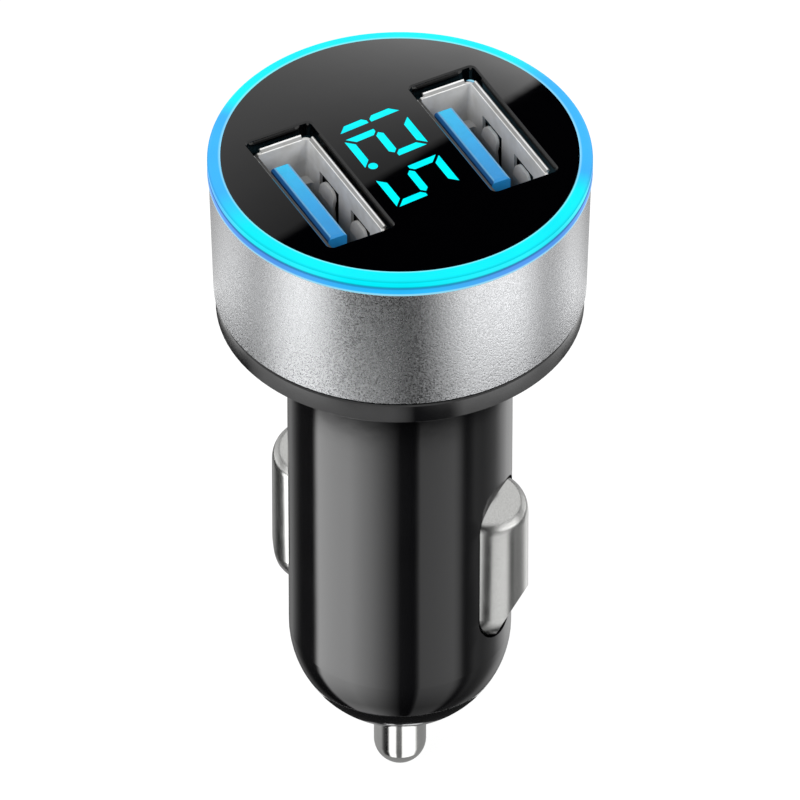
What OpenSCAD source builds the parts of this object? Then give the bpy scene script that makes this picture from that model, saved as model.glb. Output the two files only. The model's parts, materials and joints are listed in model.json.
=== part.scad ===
// Car charger plug with two USB ports, a lit number display and sprung contacts.
// Sizes are in millimetres. Z points up, the tip points down. The origin is on the axis, at the
// underside of the head's lip, where the head rests on the rim of the car's socket.
// X runs from one port to the other. All curved walls are true revolves.

/* [Head] */
// Height of the black face above the seat
head_h = 17.9; // [15:0.1:22]
// Width of the face's rim outside the corners of the port cut-outs
face_margin = 1.8; // [1.6:0.01:2.4]
// Thickness of the face panel
face_t = 1.6; // [1.2:0.1:2.2]
// Width of the light ring round the face
ring_w = 1.2; // [1:0.05:1.8]
// Height of the light ring that shows
ring_h = 1.9; // [1.7:0.1:2.5]
// Radius of the light ring's rounded shoulder
ring_round = 0.45; // [0.3:0.05:0.6]
// How far the light ring reaches down inside the sleeve
ring_skirt = 2.8; // [2:0.1:4]
// How far the light ring stands out over the sleeve
ring_proud = 0.12; // [0:0.01:0.3]
// How much narrower the sleeve is at its foot than at its top, on the radius
sleeve_taper = 0.37; // [0:0.01:0.8]
// Wall of the metal sleeve at its foot
sleeve_wall = 1.06; // [0.6:0.01:1.4]
// Chamfer on the sleeve's ends
sleeve_edge = 0.15; // [0.05:0.05:0.3]
// How far the lip lies inside the sleeve's foot
lip_inset = 0.21; // [0:0.01:0.5]
// Height of the lip
lip_h = 2.2; // [2:0.1:3]
// Height of the dark groove between lip and sleeve
groove_h = 0.3; // [0.2:0.05:0.6]
// Depth of that groove, from the lip's side
groove_d = 0.45; // [0.3:0.05:0.6]
// Wall of the cup inside the sleeve
cup_wall = 1; // [0.8:0.1:1.2]
// Thickness of the cup's floor
floor_t = 2; // [1.6:0.1:2.4]

/* [Barrel] */
// Radius of the barrel at its seat
barrel_r = 10.35; // [10.2:0.05:10.5]
// Length of the straight seat below the lip
seat_l = 14; // [10:0.5:16]
// How much the moulding draft takes off the radius by the nose
draft = 0.05; // [0.02:0.01:0.2]
// Wall of the barrel
barrel_wall = 1.35; // [1.2:0.05:1.5]
// Thickness of the nose where the tip passes through it
nose_t = 3.3; // [2.6:0.1:4]
// Thickness of the rails that hold the driver board
rail_t = 1; // [0.8:0.1:1.4]
// Depth of those rails
rail_d = 1.4; // [1:0.1:1.8]

/* [Tip contact] */
// Radius of the tip
tip_r = 2.43; // [2:0.01:2.8]
// How far the tip stands out of the nose
tip_out = 7; // [5:0.1:8]
// Radius of the flat at the end of the tip
tip_flat_r = 0.7; // [0.3:0.1:1.5]
// Radius of the flange that keeps the tip in
tip_flange_r = 3.7; // [3.4:0.1:4.4]
// Thickness of that flange
tip_flange_t = 1; // [0.8:0.1:1.4]
// How far the tip can be pushed in
tip_travel = 4; // [2:0.5:5]
// Wire of the tip spring
tip_wire = 0.5; // [0.4:0.05:0.6]
// Turns of the tip spring
tip_turns = 6; // [5:1:7]

/* [Side contacts] */
// Direction of the first side contact, in degrees from X
contact_turn = -52; // [-90:1:-30]
// Radius of a side contact, which is half its width
pill_r = 3.6; // [3:0.05:4]
// How far the contact's own axis lies inside the barrel's surface
pill_inset = 1.35; // [1.2:0.05:1.8]
// Distance from the lip down to the contact's round top
pill_drop = 18.4; // [17:0.1:24]
// Height of the contact's round top above the nose's centre
pill_top = 19.8; // [18:0.1:21]
// Height of the contact's round foot above the nose's centre
pill_foot = 2.2; // [2:0.1:3]
// Height above the nose's centre where the slanted lead-in begins
lead_start = 7.8; // [7:0.1:10]
// Slant of the lead-in in degrees
lead_angle = 24; // [14:1:28]
// Sheet thickness of a side contact
pill_t = 0.55; // [0.4:0.05:0.8]
// Width of the rim that keeps a side contact in
pill_rim = 1; // [0.6:0.1:1.2]
// How far a side contact can be pushed in
pill_travel = 2.3; // [1.5:0.1:2.5]
// Wire of a side spring
side_wire = 0.4; // [0.3:0.05:0.5]
// Turns of a side spring
side_turns = 5; // [4:1:6]

/* [USB ports] */
// Gap between a port's shell and the display's block
port_gap = 1.14; // [0.8:0.02:2]
// How far both ports sit from the middle, along their length
port_shift = -0.3; // [-0.5:0.1:0.5]
// Gap between a port's long lip and the side of its cut-out in the face
cut_side = 0.175; // [0.1:0.005:0.3]
// Gap between a port's short lips and the ends of its cut-out
cut_end = 0.375; // [0.2:0.005:0.6]
// Corner radius of the cut-out
cut_r = 0.5; // [0.3:0.1:1]
// Chamfer round the cut-out
cut_edge = 0.14; // [0.05:0.01:0.2]
// Inner width of a port
port_w = 5.12; // [5.1:0.01:5.2]
// Inner length of a port
port_l = 12.5; // [12.4:0.05:12.6]
// How far a port's wider mouth reaches past the port at either end
mouth_extra = 1.1; // [0.8:0.05:1.3]
// Depth of the wider mouth below the shell's rim
mouth_h = 5; // [4:0.1:6]
// Sheet thickness of a port's shell
shell_t = 0.3; // [0.25:0.01:0.35]
// Depth of the shell's rim below the face
rim_drop = 0.75; // [0.5:0.05:0.9]
// How far the lips flare out, and their height
flare = 0.38; // [0.3:0.01:0.45]
// Width of a window in the shell
window_w = 3.7; // [3.2:0.1:4]
// Distance between the two windows of one side
window_pitch = 6.1; // [5.6:0.1:6.5]
// Depth of a window's top below the rim
window_drop = 2.4; // [2.2:0.05:3]
// Height of a window
window_h = 6.4; // [5:0.1:7]
// Width of the spring finger in a window
finger_w = 2.7; // [2.2:0.1:2.8]
// How far a spring finger reaches into the port
finger_in = 0.4; // [0.2:0.05:0.45]
// Thickness of the tongue
tongue_t = 1.9; // [1.8:0.05:2]
// Gap between the tongue's ends and the shell
tongue_side = 0.65; // [0.5:0.05:0.8]
// Gap between the tongue's back and the shell
tongue_gap = 0.5; // [0.4:0.05:0.7]
// Depth of the tongue's end below the rim
tongue_drop = 0.7; // [0.5:0.1:1.2]
// Chamfer along the long sides of the tongue's end
tongue_edge = 0.35; // [0.1:0.05:0.5]
// Height of the tongue's foot block
foot_h = 3.4; // [2.5:0.1:4]
// Width of a contact strip
strip_w = 1; // [0.8:0.05:1.1]
// Thickness of a contact strip
strip_t = 0.25; // [0.2:0.01:0.3]

/* [Display] */
// Height of a digit, between the middles of its top and bottom bars
digit_h = 5.96; // [5.5:0.02:6.4]
// Width of a digit, between the middles of its strokes
digit_w = 3.68; // [3.4:0.02:4]
// Width of a bar of light
bar_w = 0.76; // [0.6:0.02:0.9]
// Gap between two bars
bar_gap = 0.32; // [0.2:0.02:0.4]
// Lean of the digits in degrees
digit_lean = -4.5; // [-8:0.5:8]
// Place of the middle digit along the row
digit_middle = -2.1; // [-2.3:0.1:-1.7]
// Distance from the middle digit to the last one
digit_pitch = 6.1; // [5.8:0.1:6.4]
// Distance from the first digit to the middle one
first_pitch = 5.4; // [5.2:0.1:5.6]
// Radius of the decimal point
point_r = 0.44; // [0.36:0.02:0.5]
// Height of the decimal point above the middle of the bottom bars
point_rise = 0.35; // [0.2:0.05:0.5]
// Distance from the middle digit's outer edge to the point's middle
point_side = 0.18; // [0.1:0.02:0.3]
// How far the row of digits sits from the middle of the face
row_shift = -0.3; // [-0.5:0.05:0.2]

/* [Boards] */
// Thickness of the port board
port_board_t = 1.6; // [1.2:0.1:1.6]
// Thickness of the display board
display_board_t = 1; // [0.8:0.1:1.2]
// Thickness of the driver board
driver_t = 1.2; // [1:0.1:1.6]
// Height of the display module
module_h = 2.3; // [2:0.1:3]
// Thickness of the light guide's plate under the face
guide_t = 0.4; // [0.3:0.05:0.6]

/* [Inside] */
// How far the display's block reaches past the digits at either side
block_margin = 1.04; // [0.5:0.02:1.2]
// Length of the display's block
block_l = 17.4; // [17.2:0.1:18]
// Width of a header between the boards
header_w = 7.6; // [7:0.1:9]
// Depth of a header
header_d = 2.5; // [2.2:0.1:3]
// Room kept free between the parts on the driver board and the barrel
part_gap = 0.95; // [0.5:0.05:1.2]
// Gap between two parts on the driver board
part_space = 0.2; // [0.1:0.05:0.6]
// Radius of the choke's flanges
choke_r = 4; // [3:0.1:4.2]
// How far the choke lies beside the board's middle
choke_v = 1.8; // [1.2:0.1:2]
// Length of the can on the input side
input_can_l = 10.5; // [8:0.5:12]
// How far that can lies beside the board's middle
input_can_v = 2.9; // [2.6:0.1:3.2]
// Height of that can's foot over the board's lower end
input_can_rise = 4.5; // [3:0.5:6]
// Radius of the can on the output side
output_can_r = 2.9; // [2.4:0.1:3]
// How far that can lies beside the board's middle
output_can_v = 1.6; // [1:0.1:2]
// Length of the converter chip
chip_l = 5; // [4.6:0.1:6]
// Width of the converter chip
chip_w = 4; // [3.6:0.1:4.4]
// How far the chip lies beside the board's middle
chip_v = 3.6; // [3.4:0.1:4]
// Gap between the chip and the fuse
chip_space = 2.3; // [1:0.1:3]
// Length of the fuse
fuse_l = 6; // [4:0.5:7]
// Radius of the fuse's tube
fuse_r = 1.2; // [0.8:0.1:1.4]
// How far the fuse lies beside the board's middle
fuse_v = 4; // [3:0.1:4.4]
// Height of the fuse's foot over the board's lower end
fuse_rise = 0.8; // [0.4:0.1:1.4]

/* [Clearances] */
// Running clearance round the tip
tip_clear = 0.1; // [0.05:0.01:0.2]
// Clearance round a side contact in its slot
slot_clear = 0.15; // [0.1:0.01:0.25]
// Clearance where one fixed piece sits in another
fit_clear = 0.05; // [0.02:0.01:0.1]
// Clearance round the bars of light in the face
bar_clear = 0.02; // [0.01:0.01:0.04]
// Gap between a board's edge and the moulding round it
board_clear = 0.2; // [0.1:0.05:0.4]
// Gap round a leg, a tail or a peg in its board
hole_clear = 0.1; // [0.05:0.01:0.2]

/* [Hidden] */
$fn = 96;
eps = 0.01;

// Ports: shell, cut-out in the face and distance between the two
shell_w = port_w + 2 * shell_t;
shell_l = port_l + 2 * shell_t;
lip_slope = 0.7;
bend_r = 0.3;
mouth_l = port_l + 2 * mouth_extra;
lip_reach = flare + lip_slope * shell_t;
cut_w = port_w + 2 * lip_reach + 2 * cut_side;
cut_l = mouth_l + 2 * lip_reach + 2 * cut_end;
block_w = digit_h + bar_w + 2 * block_margin;
port_pitch = block_w + 2 * port_gap + shell_w;
tongue_l = port_l - 2 * tongue_side;

// Radii of the head, from the ports' corners out
face_r = norm([(port_pitch + cut_w) / 2, cut_l / 2 + abs(port_shift)]) + face_margin;
ring_r = face_r + ring_w;
sleeve_top_r = ring_r - ring_proud;
sleeve_foot_r = sleeve_top_r - sleeve_taper;
sleeve_bore_r = sleeve_foot_r - sleeve_wall;
lip_r = sleeve_foot_r - lip_inset;

// Heights in the head, from the seat up
sleeve_z = lip_h + groove_h;
ring_z = head_h - ring_h;
panel_z = head_h - face_t;
flange_t = 1;
flange_w = 0.35;
flange_z = panel_z - flange_t;
cup_top = ring_z - ring_skirt;
ledge_h = 0.6;
ledge_w = 1.2;
port_board_z = floor_t + ledge_h;
port_base_z = port_board_z + port_board_t;
rim_z = head_h - rim_drop;
guide_z = panel_z - guide_t;
module_z = guide_z - module_h;
display_board_z = module_z - display_board_t;

// Radii in the head
cup_r = sleeve_bore_r - fit_clear;
cup_bore_r = cup_r - cup_wall;
flange_bore_r = cup_bore_r - flange_w;
port_board_r = cup_bore_r - fit_clear;
display_board_r = cup_bore_r - board_clear;

// Barrel and nose, whose round end is a ball centred barrel_l below the lip
barrel_l = pill_drop + pill_top;
pill_axis = barrel_r - pill_inset;
bore_r = barrel_r - barrel_wall;
nose_r = barrel_r - draft;
nose_z = -barrel_l;
nose_end = nose_z - nose_r;
nose_floor = nose_end + nose_t;
tip_end = nose_end - tip_out;
// How much of the dome the flat takes off
tip_flat_drop = tip_r - sqrt(pow(tip_r, 2) - pow(tip_flat_r, 2));

// Side contact heights, and the carrier that holds the springs
pill_top_z = nose_z + pill_top;
pill_centre_z = pill_top_z - pill_r;
pill_foot_z = nose_z + pill_foot;
pill_low_z = pill_foot_z + pill_r;
spring_z = (pill_centre_z + pill_low_z) / 2;
rim_r = bore_r - slot_clear;
rim_t = 0.6;
carrier_half = 3.2;
carrier_top = pill_top_z + 0.8;
coil_room = 4;
carrier_foot = nose_floor + tip_flange_t + tip_travel + coil_room;
seat_disc_t = 0.5;
seat_disc_r = 3.4;
tip_spring_r = 2.6;
seat_z = carrier_foot - seat_disc_t;
seat_stem_r = 0.8;
side_spring_r = 1.95;
side_spring_end = pill_axis
    + sqrt(pow(pill_r - pill_t, 2) - pow(side_spring_r + side_wire / 2, 2)) - fit_clear;

// Tails of the ports under the port board, and the driver board below them
tail = 0.45;
tail_gap = 0.3;
driver_half = bore_r - board_clear;
driver_foot = carrier_top + 1;
driver_top = port_board_z - tail - tail_gap;
tenon_half = 6;
tenon_foot = (carrier_top + carrier_foot) / 2 - 2.5;
peg_pitch = 6.4;
peg_w = 3;
face_u = driver_t / 2;

// Parts on the driver board; each height is that of a part's lower end
part_r = bore_r - part_gap;
base_w = 2 * output_can_r + 0.2;
output_can_z = driver_foot + part_space;
choke_z = output_can_z + base_w + part_space;
input_can_z = driver_foot + input_can_rise;
fuse_z = driver_foot + fuse_rise;
chip_z = fuse_z + fuse_l + chip_space;
// Radius of a can that lies on the board and just reaches part_r
input_can_r = (pow(part_r, 2) - pow(face_u, 2) - pow(input_can_v, 2)) / (2 * (face_u + part_r));

// Room over the board for a part whose outer edge is this far beside the middle
function room(v) = sqrt(pow(part_r, 2) - pow(v, 2)) - face_u;

// Strips and legs pass through the port board
strip_pitches = [-3.5, -1, 1, 3.5];
leg_w = 1.8;
leg_pitch = 9;
// How far the ends of the outer and the inner strips lie below the tongue's end
outer_strip_drop = 0.9;
inner_strip_drop = 1.9;

// Tongue, across the port
tongue_x0 = -port_w / 2 + tongue_gap;
tongue_x1 = tongue_x0 + tongue_t;
tongue_top = rim_z - tongue_drop;
strip_x = tongue_x1 - strip_t / 2;

// Place and pins of the headers between the two boards
header_y = 11.6;
pin_pitch = 2.54;

// Colours as the photograph shows them
black = "#0b0b0d";
metal = "#c9cacc";
ring_blue = "#18d8ff";
lit = "#00f0ff";
steel = "#b9b8b6";
tongue_blue = "#37a5e6";
bright = "#d9d9d6";
gold = "#d8b04a";
board_green = "#1d5a3a";
nylon = "#e8e4d8";

// Helpers

// A flat rectangle with round corners, centred
module round_rect(w, l, r) {
    square([w - 2 * r, l], center = true);
    square([w, l - 2 * r], center = true);
    for (sx = [-1, 1]) for (sy = [-1, 1])
        translate([sx * (w / 2 - r), sy * (l / 2 - r)]) circle(r);
}

// A box that stands on z, centred across
module block(w, l, h, z = 0) {
    translate([-w / 2, -l / 2, z]) cube([w, l, h]);
}

// Puts its children at both ports, or at the port of one side
module at_port(side) {
    translate([side * port_pitch / 2, port_shift, 0]) children();
}

// Turns its children so that X points out through a side contact
module toward_contact(rear) {
    rotate([0, 0, contact_turn + (rear ? 180 : 0)]) children();
}

// A plate of this outline, facing out along X, from x0 to x1; the outline's y becomes z
module outward(x0, x1) {
    translate([x0, 0, 0]) rotate([90, 0, 90]) linear_extrude(x1 - x0) children();
}

// Height of a coil's middle line after a number of turns; its end turns are closed
function coil_z(s, turns, l, wire) =
    let (dead = wire * 1.2)
    s <= 1 ? wire / 2 + dead * s
    : s >= turns - 1 ? l - wire / 2 - dead * (turns - s)
    : wire / 2 + dead + (l - wire - 2 * dead) * (s - 1) / (turns - 2);

// A compression spring round Z, from 0 to l
module coil(r, wire, turns, l, per_turn = 16, sides = 8) {
    rings = turns * per_turn;
    points = [for (i = [0 : rings]) for (j = [0 : sides - 1])
        let (a = 360 * i / per_turn, t = 360 * j / sides, out = r + wire / 2 * cos(t))
        [out * cos(a), out * sin(a), coil_z(i / per_turn, turns, l, wire) + wire / 2 * sin(t)]];
    walls = [for (i = [0 : rings - 1]) for (j = [0 : sides - 1])
        let (k = (j + 1) % sides)
        [i * sides + j, i * sides + k, (i + 1) * sides + k, (i + 1) * sides + j]];
    ends = [[for (j = [sides - 1 : -1 : 0]) j], [for (j = [0 : sides - 1]) rings * sides + j]];
    polyhedron(points, concat(walls, ends));
}

// The bars of a digit

// Corners of a bar, in the digit's own plane; grow widens the bar for its window
function bar_points(name, grow) =
    let (w = digit_w / 2 + bar_w / 2 + grow, h = digit_h / 2 + bar_w / 2 + grow,
        t = bar_w + 2 * grow, g = (bar_gap / 2 - grow) * 1.4, m = bar_gap / 2 - grow)
    name == "a" ? [[-w + g, h], [w - g, h], [w - t - g, h - t], [-w + t + g, h - t]]
    : name == "d" ? [for (p = bar_points("a", grow)) [p[0], -p[1]]]
    : name == "g" ? [[-w + t / 2 + g, 0], [-w + t + g, t / 2], [w - t - g, t / 2],
        [w - t / 2 - g, 0], [w - t - g, -t / 2], [-w + t + g, -t / 2]]
    : name == "b" ? [[w, h - g], [w, m], [w - t / 2, m], [w - t, t / 2 + m], [w - t, h - t - g]]
    : name == "c" ? [for (p = bar_points("b", grow)) [p[0], -p[1]]]
    : name == "f" ? [for (p = bar_points("b", grow)) [-p[0], p[1]]]
    : [for (p = bar_points("b", grow)) [-p[0], -p[1]]];

function leaned(p) = [p[0] + p[1] * tan(digit_lean), p[1]];

// The lit bars of the three digits and the point, drawn in the plane of the face
module lit_bars(grow = 0) {
    rows = [
        [digit_middle - first_pitch, ["b", "c"]],
        [digit_middle, ["a", "b", "g", "e", "d"]],
        [digit_middle + digit_pitch, ["a", "f", "g", "c", "d"]]];
    rotate([0, 0, -90]) translate([0, row_shift]) {
        for (row = rows) for (name = row[1])
            translate([row[0], 0]) polygon([for (p = bar_points(name, grow)) leaned(p)]);
        translate([digit_middle + (digit_w + bar_w) / 2 + point_side, point_rise - digit_h / 2])
            circle(point_r + grow);
    }
}

// Head

// One moulding: cup, lip, barrel and round nose
module body_shell() {
    color(black) difference() {
        union() {
            rotate_extrude() difference() {
                body_outline();
                body_hollow();
            }
            toward_contact(false) board_rails();
        }
        for (rear = [false, true]) toward_contact(rear) outward(bore_r - 2.4, barrel_r + 1)
            pill_outline(slot_clear);
    }
}

// Outer half section of the body
module body_outline() {
    edge = 0.25;
    polygon([[0, 0], [lip_r - edge, 0], [lip_r, edge], [lip_r, lip_h - edge / 2],
        [lip_r - edge / 2, lip_h], [0, lip_h]]);
    translate([0, lip_h - eps]) square([lip_r - groove_d, groove_h + eps]);
    translate([0, lip_h]) square([cup_r, cup_top - lip_h]);
    translate([0, -seat_l]) square([barrel_r, seat_l + eps]);
    polygon([[0, -seat_l], [barrel_r, -seat_l], [nose_r, nose_z], [0, nose_z]]);
    intersection() {
        translate([0, nose_z]) circle(nose_r);
        translate([0, nose_end - 1]) square([nose_r + 1, nose_r + 1]);
    }
}

// Hollow half section of the body: the cup, its ledge, the bore and the hole for the tip
module body_hollow() {
    translate([0, port_board_z]) square([cup_bore_r, head_h]);
    translate([0, floor_t]) square([cup_bore_r - ledge_w, ledge_h + eps]);
    translate([0, nose_z]) square([bore_r, barrel_l + floor_t + eps]);
    intersection() {
        translate([0, nose_z]) circle(bore_r);
        translate([0, nose_floor]) square([bore_r + 1, nose_z - nose_floor]);
    }
    translate([0, nose_end - 1]) square([tip_r + tip_clear, nose_t + 1 + eps]);
}

// Two pairs of rails inside the barrel, either side of the driver board's edges
module board_rails() {
    root = 0.4;
    for (su = [-1, 1]) for (sv = [-1, 1])
        translate([su * (face_u + fit_clear + rail_t / 2), sv * (bore_r - (rail_d - root) / 2), carrier_top])
            block(rail_t, rail_d + root, -1 - carrier_top);
}

// Blasted aluminium tube round the cup
module metal_sleeve() {
    e = sleeve_edge;
    color(metal) rotate_extrude()
        polygon([[sleeve_bore_r, sleeve_z], [sleeve_foot_r - e, sleeve_z], [sleeve_foot_r, sleeve_z + e],
            [sleeve_top_r, ring_z - e], [sleeve_top_r - e, ring_z], [sleeve_bore_r, ring_z]]);
}

// Clear ring that carries the light round the face, with its skirt inside the sleeve
module light_ring() {
    land = face_r + fit_clear;
    // Two lines round the side: depth, distance of the lower edge from the top, width
    marks = [[0.06, 0.38, 0.08], [0.1, 1.14, 0.2]];
    color(ring_blue) rotate_extrude() difference() {
        union() {
            translate([land, panel_z - eps]) square([ring_r - ring_round - land, face_t + eps]);
            translate([land, panel_z - eps]) square([ring_r - land, face_t - ring_round + eps]);
            intersection() {
                translate([ring_r - ring_round, head_h - ring_round]) circle(ring_round);
                translate([ring_r - ring_round - eps, panel_z]) square([ring_r, face_t]);
            }
            translate([flange_bore_r, ring_z]) square([ring_r - flange_bore_r, panel_z - ring_z]);
            translate([flange_bore_r, flange_z]) square([cup_r - flange_bore_r, flange_t]);
            translate([cup_bore_r, cup_top]) square([cup_r - cup_bore_r, ring_skirt + eps]);
        }
        for (m = marks) translate([ring_r - m[0], head_h - m[1]]) square([1, m[2]]);
    }
}

// Gloss black face with the two port cut-outs and the windows of the lit bars
module face_panel() {
    color(black) difference() {
        translate([0, 0, panel_z]) cylinder(r = face_r, h = face_t);
        for (side = [-1, 1]) at_port(side) cut_out();
        translate([0, 0, panel_z - 1]) linear_extrude(face_t + 2) lit_bars(bar_clear);
    }
}

// Space of one cut-out with a chamfered upper edge: four straight sides and four corner cones
module cut_out() {
    e = cut_edge;
    half_w = cut_w / 2;
    half_l = cut_l / 2;
    translate([0, 0, panel_z - 1]) linear_extrude(face_t + 2) round_rect(cut_w, cut_l, cut_r);
    translate([0, half_l - cut_r, 0]) rotate([90, 0, 0]) linear_extrude(cut_l - 2 * cut_r)
        chamfer_section(half_w, e);
    translate([cut_r - half_w, 0, 0]) rotate([90, 0, 90]) linear_extrude(cut_w - 2 * cut_r)
        chamfer_section(half_l, e);
    for (sx = [-1, 1]) for (sy = [-1, 1])
        translate([sx * (half_w - cut_r), sy * (half_l - cut_r), head_h - e])
            cylinder(r1 = cut_r, r2 = cut_r + 2 * e, h = 2 * e);
}

// Section of a chamfer at the top of the face, as a trapezoid
module chamfer_section(half, e) {
    polygon([[-half, head_h - e], [half, head_h - e], [half + 2 * e, head_h + e],
        [-half - 2 * e, head_h + e]]);
}

// Clear plate under the face whose raised bars fill the windows
module light_guide() {
    below_face = 0.02;
    color(lit) {
        translate([0, 0, panel_z - eps]) linear_extrude(face_t + eps - below_face) lit_bars();
        block(block_w - 2 * board_clear, block_l - 2 * board_clear, guide_t, guide_z);
    }
}

// Block of the number display on its board, with a light well under each digit
module display_module() {
    wall = 0.9;
    well_d = 0.3;
    well_l = (block_l - 4 * wall) / 3;
    color(nylon) difference() {
        block(block_w, block_l, module_h, module_z);
        for (i = [-1 : 1]) translate([0, i * (well_l + wall), 0])
            block(block_w - 2 * wall, well_l, well_d + 1, guide_z - well_d);
    }
}

// Upper board, which carries the display and the lamps of the ring
module display_board() {
    color(board_green) difference() {
        translate([0, 0, display_board_z]) cylinder(r = display_board_r, h = display_board_t);
        for (side = [-1, 1]) at_port(side)
            block(shell_w + 2 * board_clear, mouth_l + 2 * (shell_t + board_clear), 3, display_board_z - 1);
    }
}

// One lamp of the ring, on the upper board
module ring_led(turn) {
    led_d = 0.9;
    led_w = 1.7;
    led_h = 0.8;
    color(bright) rotate([0, 0, turn]) translate([display_board_r - led_d, 0, 0])
        block(led_d, led_w, led_h, display_board_z + display_board_t);
}

// Pin strip that holds the upper board over the lower one
module board_header(side) {
    h = display_board_z - port_base_z;
    slot_w = 0.6;
    slot_d = 0.25;
    slot_end = 0.8;
    color(black) translate([0, side * header_y, 0]) difference() {
        block(header_w, header_d, h, port_base_z);
        for (i = [-1 : 1]) translate([i * pin_pitch, 0, 0]) for (s = [-1, 1])
            translate([0, s * header_d / 2, 0])
                block(slot_w, 2 * slot_d, h - 2 * slot_end, port_base_z + slot_end);
    }
}

// Lower board, which carries the ports
module port_board() {
    color(board_green) difference() {
        translate([0, 0, port_board_z]) cylinder(r = port_board_r, h = port_board_t);
        for (side = [-1, 1]) at_port(side) {
            for (y = strip_pitches) translate([strip_x, y, 0]) board_hole(strip_t, strip_w);
            for (sx = [-1, 1]) for (sy = [-1, 1])
                translate([sx * (port_w + shell_t) / 2, sy * leg_pitch / 2, 0]) board_hole(shell_t, leg_w);
        }
        toward_contact(false) for (s = [-1, 1])
            translate([0, s * peg_pitch / 2, 0]) board_hole(driver_t, peg_w);
    }
}

// Hole in the port board round something of this section
module board_hole(w, l) {
    block(w + 2 * hole_clear, l + 2 * hole_clear, port_board_t + 2, port_board_z - 1);
}

// USB ports

// Stamped shell of one port: tube, wider mouth with bent lips, windows with spring fingers, and legs
module usb_shell(side) {
    top = rim_z - flare;
    mouth_z = rim_z - mouth_h;
    short_w = port_w - 0.92;
    color(steel) at_port(side) {
        difference() {
            union() {
                translate([0, 0, port_base_z]) linear_extrude(mouth_z + shell_t - port_base_z)
                    round_rect(shell_w, shell_l, bend_r + shell_t);
                translate([0, 0, mouth_z]) linear_extrude(top - mouth_z)
                    round_rect(shell_w, mouth_l + 2 * shell_t, bend_r + shell_t);
            }
            translate([0, 0, port_base_z - 1]) linear_extrude(head_h) round_rect(port_w, port_l, bend_r);
            translate([0, 0, mouth_z + shell_t]) linear_extrude(mouth_h) round_rect(port_w, mouth_l, bend_r);
            for (s = [-1, 1]) translate([0, s * window_pitch / 2, 0])
                block(shell_w + 1, window_w, window_h, rim_z - window_drop - window_h);
        }
        for (s = [0, 1]) mirror([0, s, 0]) lip(mouth_l / 2, short_w);
        // The side with the tongue has no lip
        rotate([0, 0, -90]) lip(port_w / 2, mouth_l - 2 * bend_r);
        for (s = [0, 1]) mirror([s, 0, 0]) {
            for (y = [-1, 1]) translate([0, y * window_pitch / 2, 0]) finger();
            for (y = [-1, 1]) translate([(port_w + shell_t) / 2, y * leg_pitch / 2, 0])
                block(shell_t, leg_w, port_board_t + tail + eps, port_board_z - tail);
        }
    }
}

// Lip bent out at 45 degrees at the top of a wall whose inner face lies this far out along Y
module lip(y, w) {
    top = rim_z - flare;
    s = shell_t;
    translate([-w / 2, 0, 0]) rotate([90, 0, 90]) linear_extrude(w)
        polygon([[y, top], [y + flare, rim_z], [y + lip_reach, rim_z - s * lip_slope],
            [y + s, top - s * 0.4], [y + s, top - 0.5], [y, top - 0.5]]);
}

// Spring finger in a window: a bent strip with a round end
module finger() {
    x = port_w / 2;
    z0 = rim_z - window_drop - window_h;
    z1 = rim_z - window_drop - 0.5;
    mid = z0 + window_h * 0.7;
    end_r = 0.9;
    intersection() {
        translate([0, finger_w / 2, 0]) rotate([90, 0, 0]) linear_extrude(finger_w)
            polygon([[x, z0 - 0.2], [x + shell_t, z0 - 0.2], [x + shell_t, z0 + 0.4],
                [x - finger_in + shell_t, mid], [x - finger_in * 0.3 + shell_t, z1],
                [x - finger_in * 0.3, z1], [x - finger_in, mid], [x, z0 + 0.4]]);
        outward(x - 1, x + 1) union() {
            translate([-finger_w / 2, z0 - 1]) square([finger_w, z1 - z0 + 1 - end_r]);
            translate([end_r - finger_w / 2, z1 - end_r - eps]) square([finger_w - 2 * end_r, end_r]);
            for (s = [-1, 1]) translate([s * (finger_w / 2 - end_r), z1 - end_r]) circle(end_r);
        }
    }
}

// Blue insulator of one port: foot block and tongue, with channels for the strips
module usb_tongue(side) {
    top = tongue_top;
    e = tongue_edge;
    end_e = 0.2;
    foot_top = port_base_z + foot_h;
    color(tongue_blue) at_port(side) difference() {
        union() {
            translate([0, 0, port_base_z]) linear_extrude(foot_h)
                round_rect(port_w - 2 * fit_clear, port_l - 2 * fit_clear, bend_r);
            intersection() {
                translate([0, tongue_l / 2, 0]) rotate([90, 0, 0]) linear_extrude(tongue_l)
                    polygon([[tongue_x0, foot_top - 1], [tongue_x1, foot_top - 1], [tongue_x1, top - e],
                        [tongue_x1 - e, top], [tongue_x0 + e, top], [tongue_x0, top - e]]);
                translate([-port_w / 2, 0, 0]) rotate([90, 0, 90]) linear_extrude(port_w)
                    polygon([[-tongue_l / 2, foot_top - 2], [tongue_l / 2, foot_top - 2],
                        [tongue_l / 2, top - end_e], [tongue_l / 2 - end_e, top],
                        [end_e - tongue_l / 2, top], [-tongue_l / 2, top - end_e]]);
            }
        }
        for (i = [0 : 3]) translate([strip_x, strip_pitches[i], 0])
            block(strip_t + 0.02, strip_w + 0.02, strip_top(i) - port_base_z + 1.02, port_base_z - 1);
    }
}

// The two outer strips reach further up the tongue than the inner ones
function strip_top(i) = tongue_top - (i == 0 || i == 3 ? outer_strip_drop : inner_strip_drop);

// One plated strip, half sunk in the tongue, with its tail through the board
module strip(side, i) {
    z0 = port_board_z - tail;
    color(gold) at_port(side) translate([strip_x, strip_pitches[i], 0])
        block(strip_t, strip_w, strip_top(i) - z0, z0);
}

// Barrel

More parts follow.
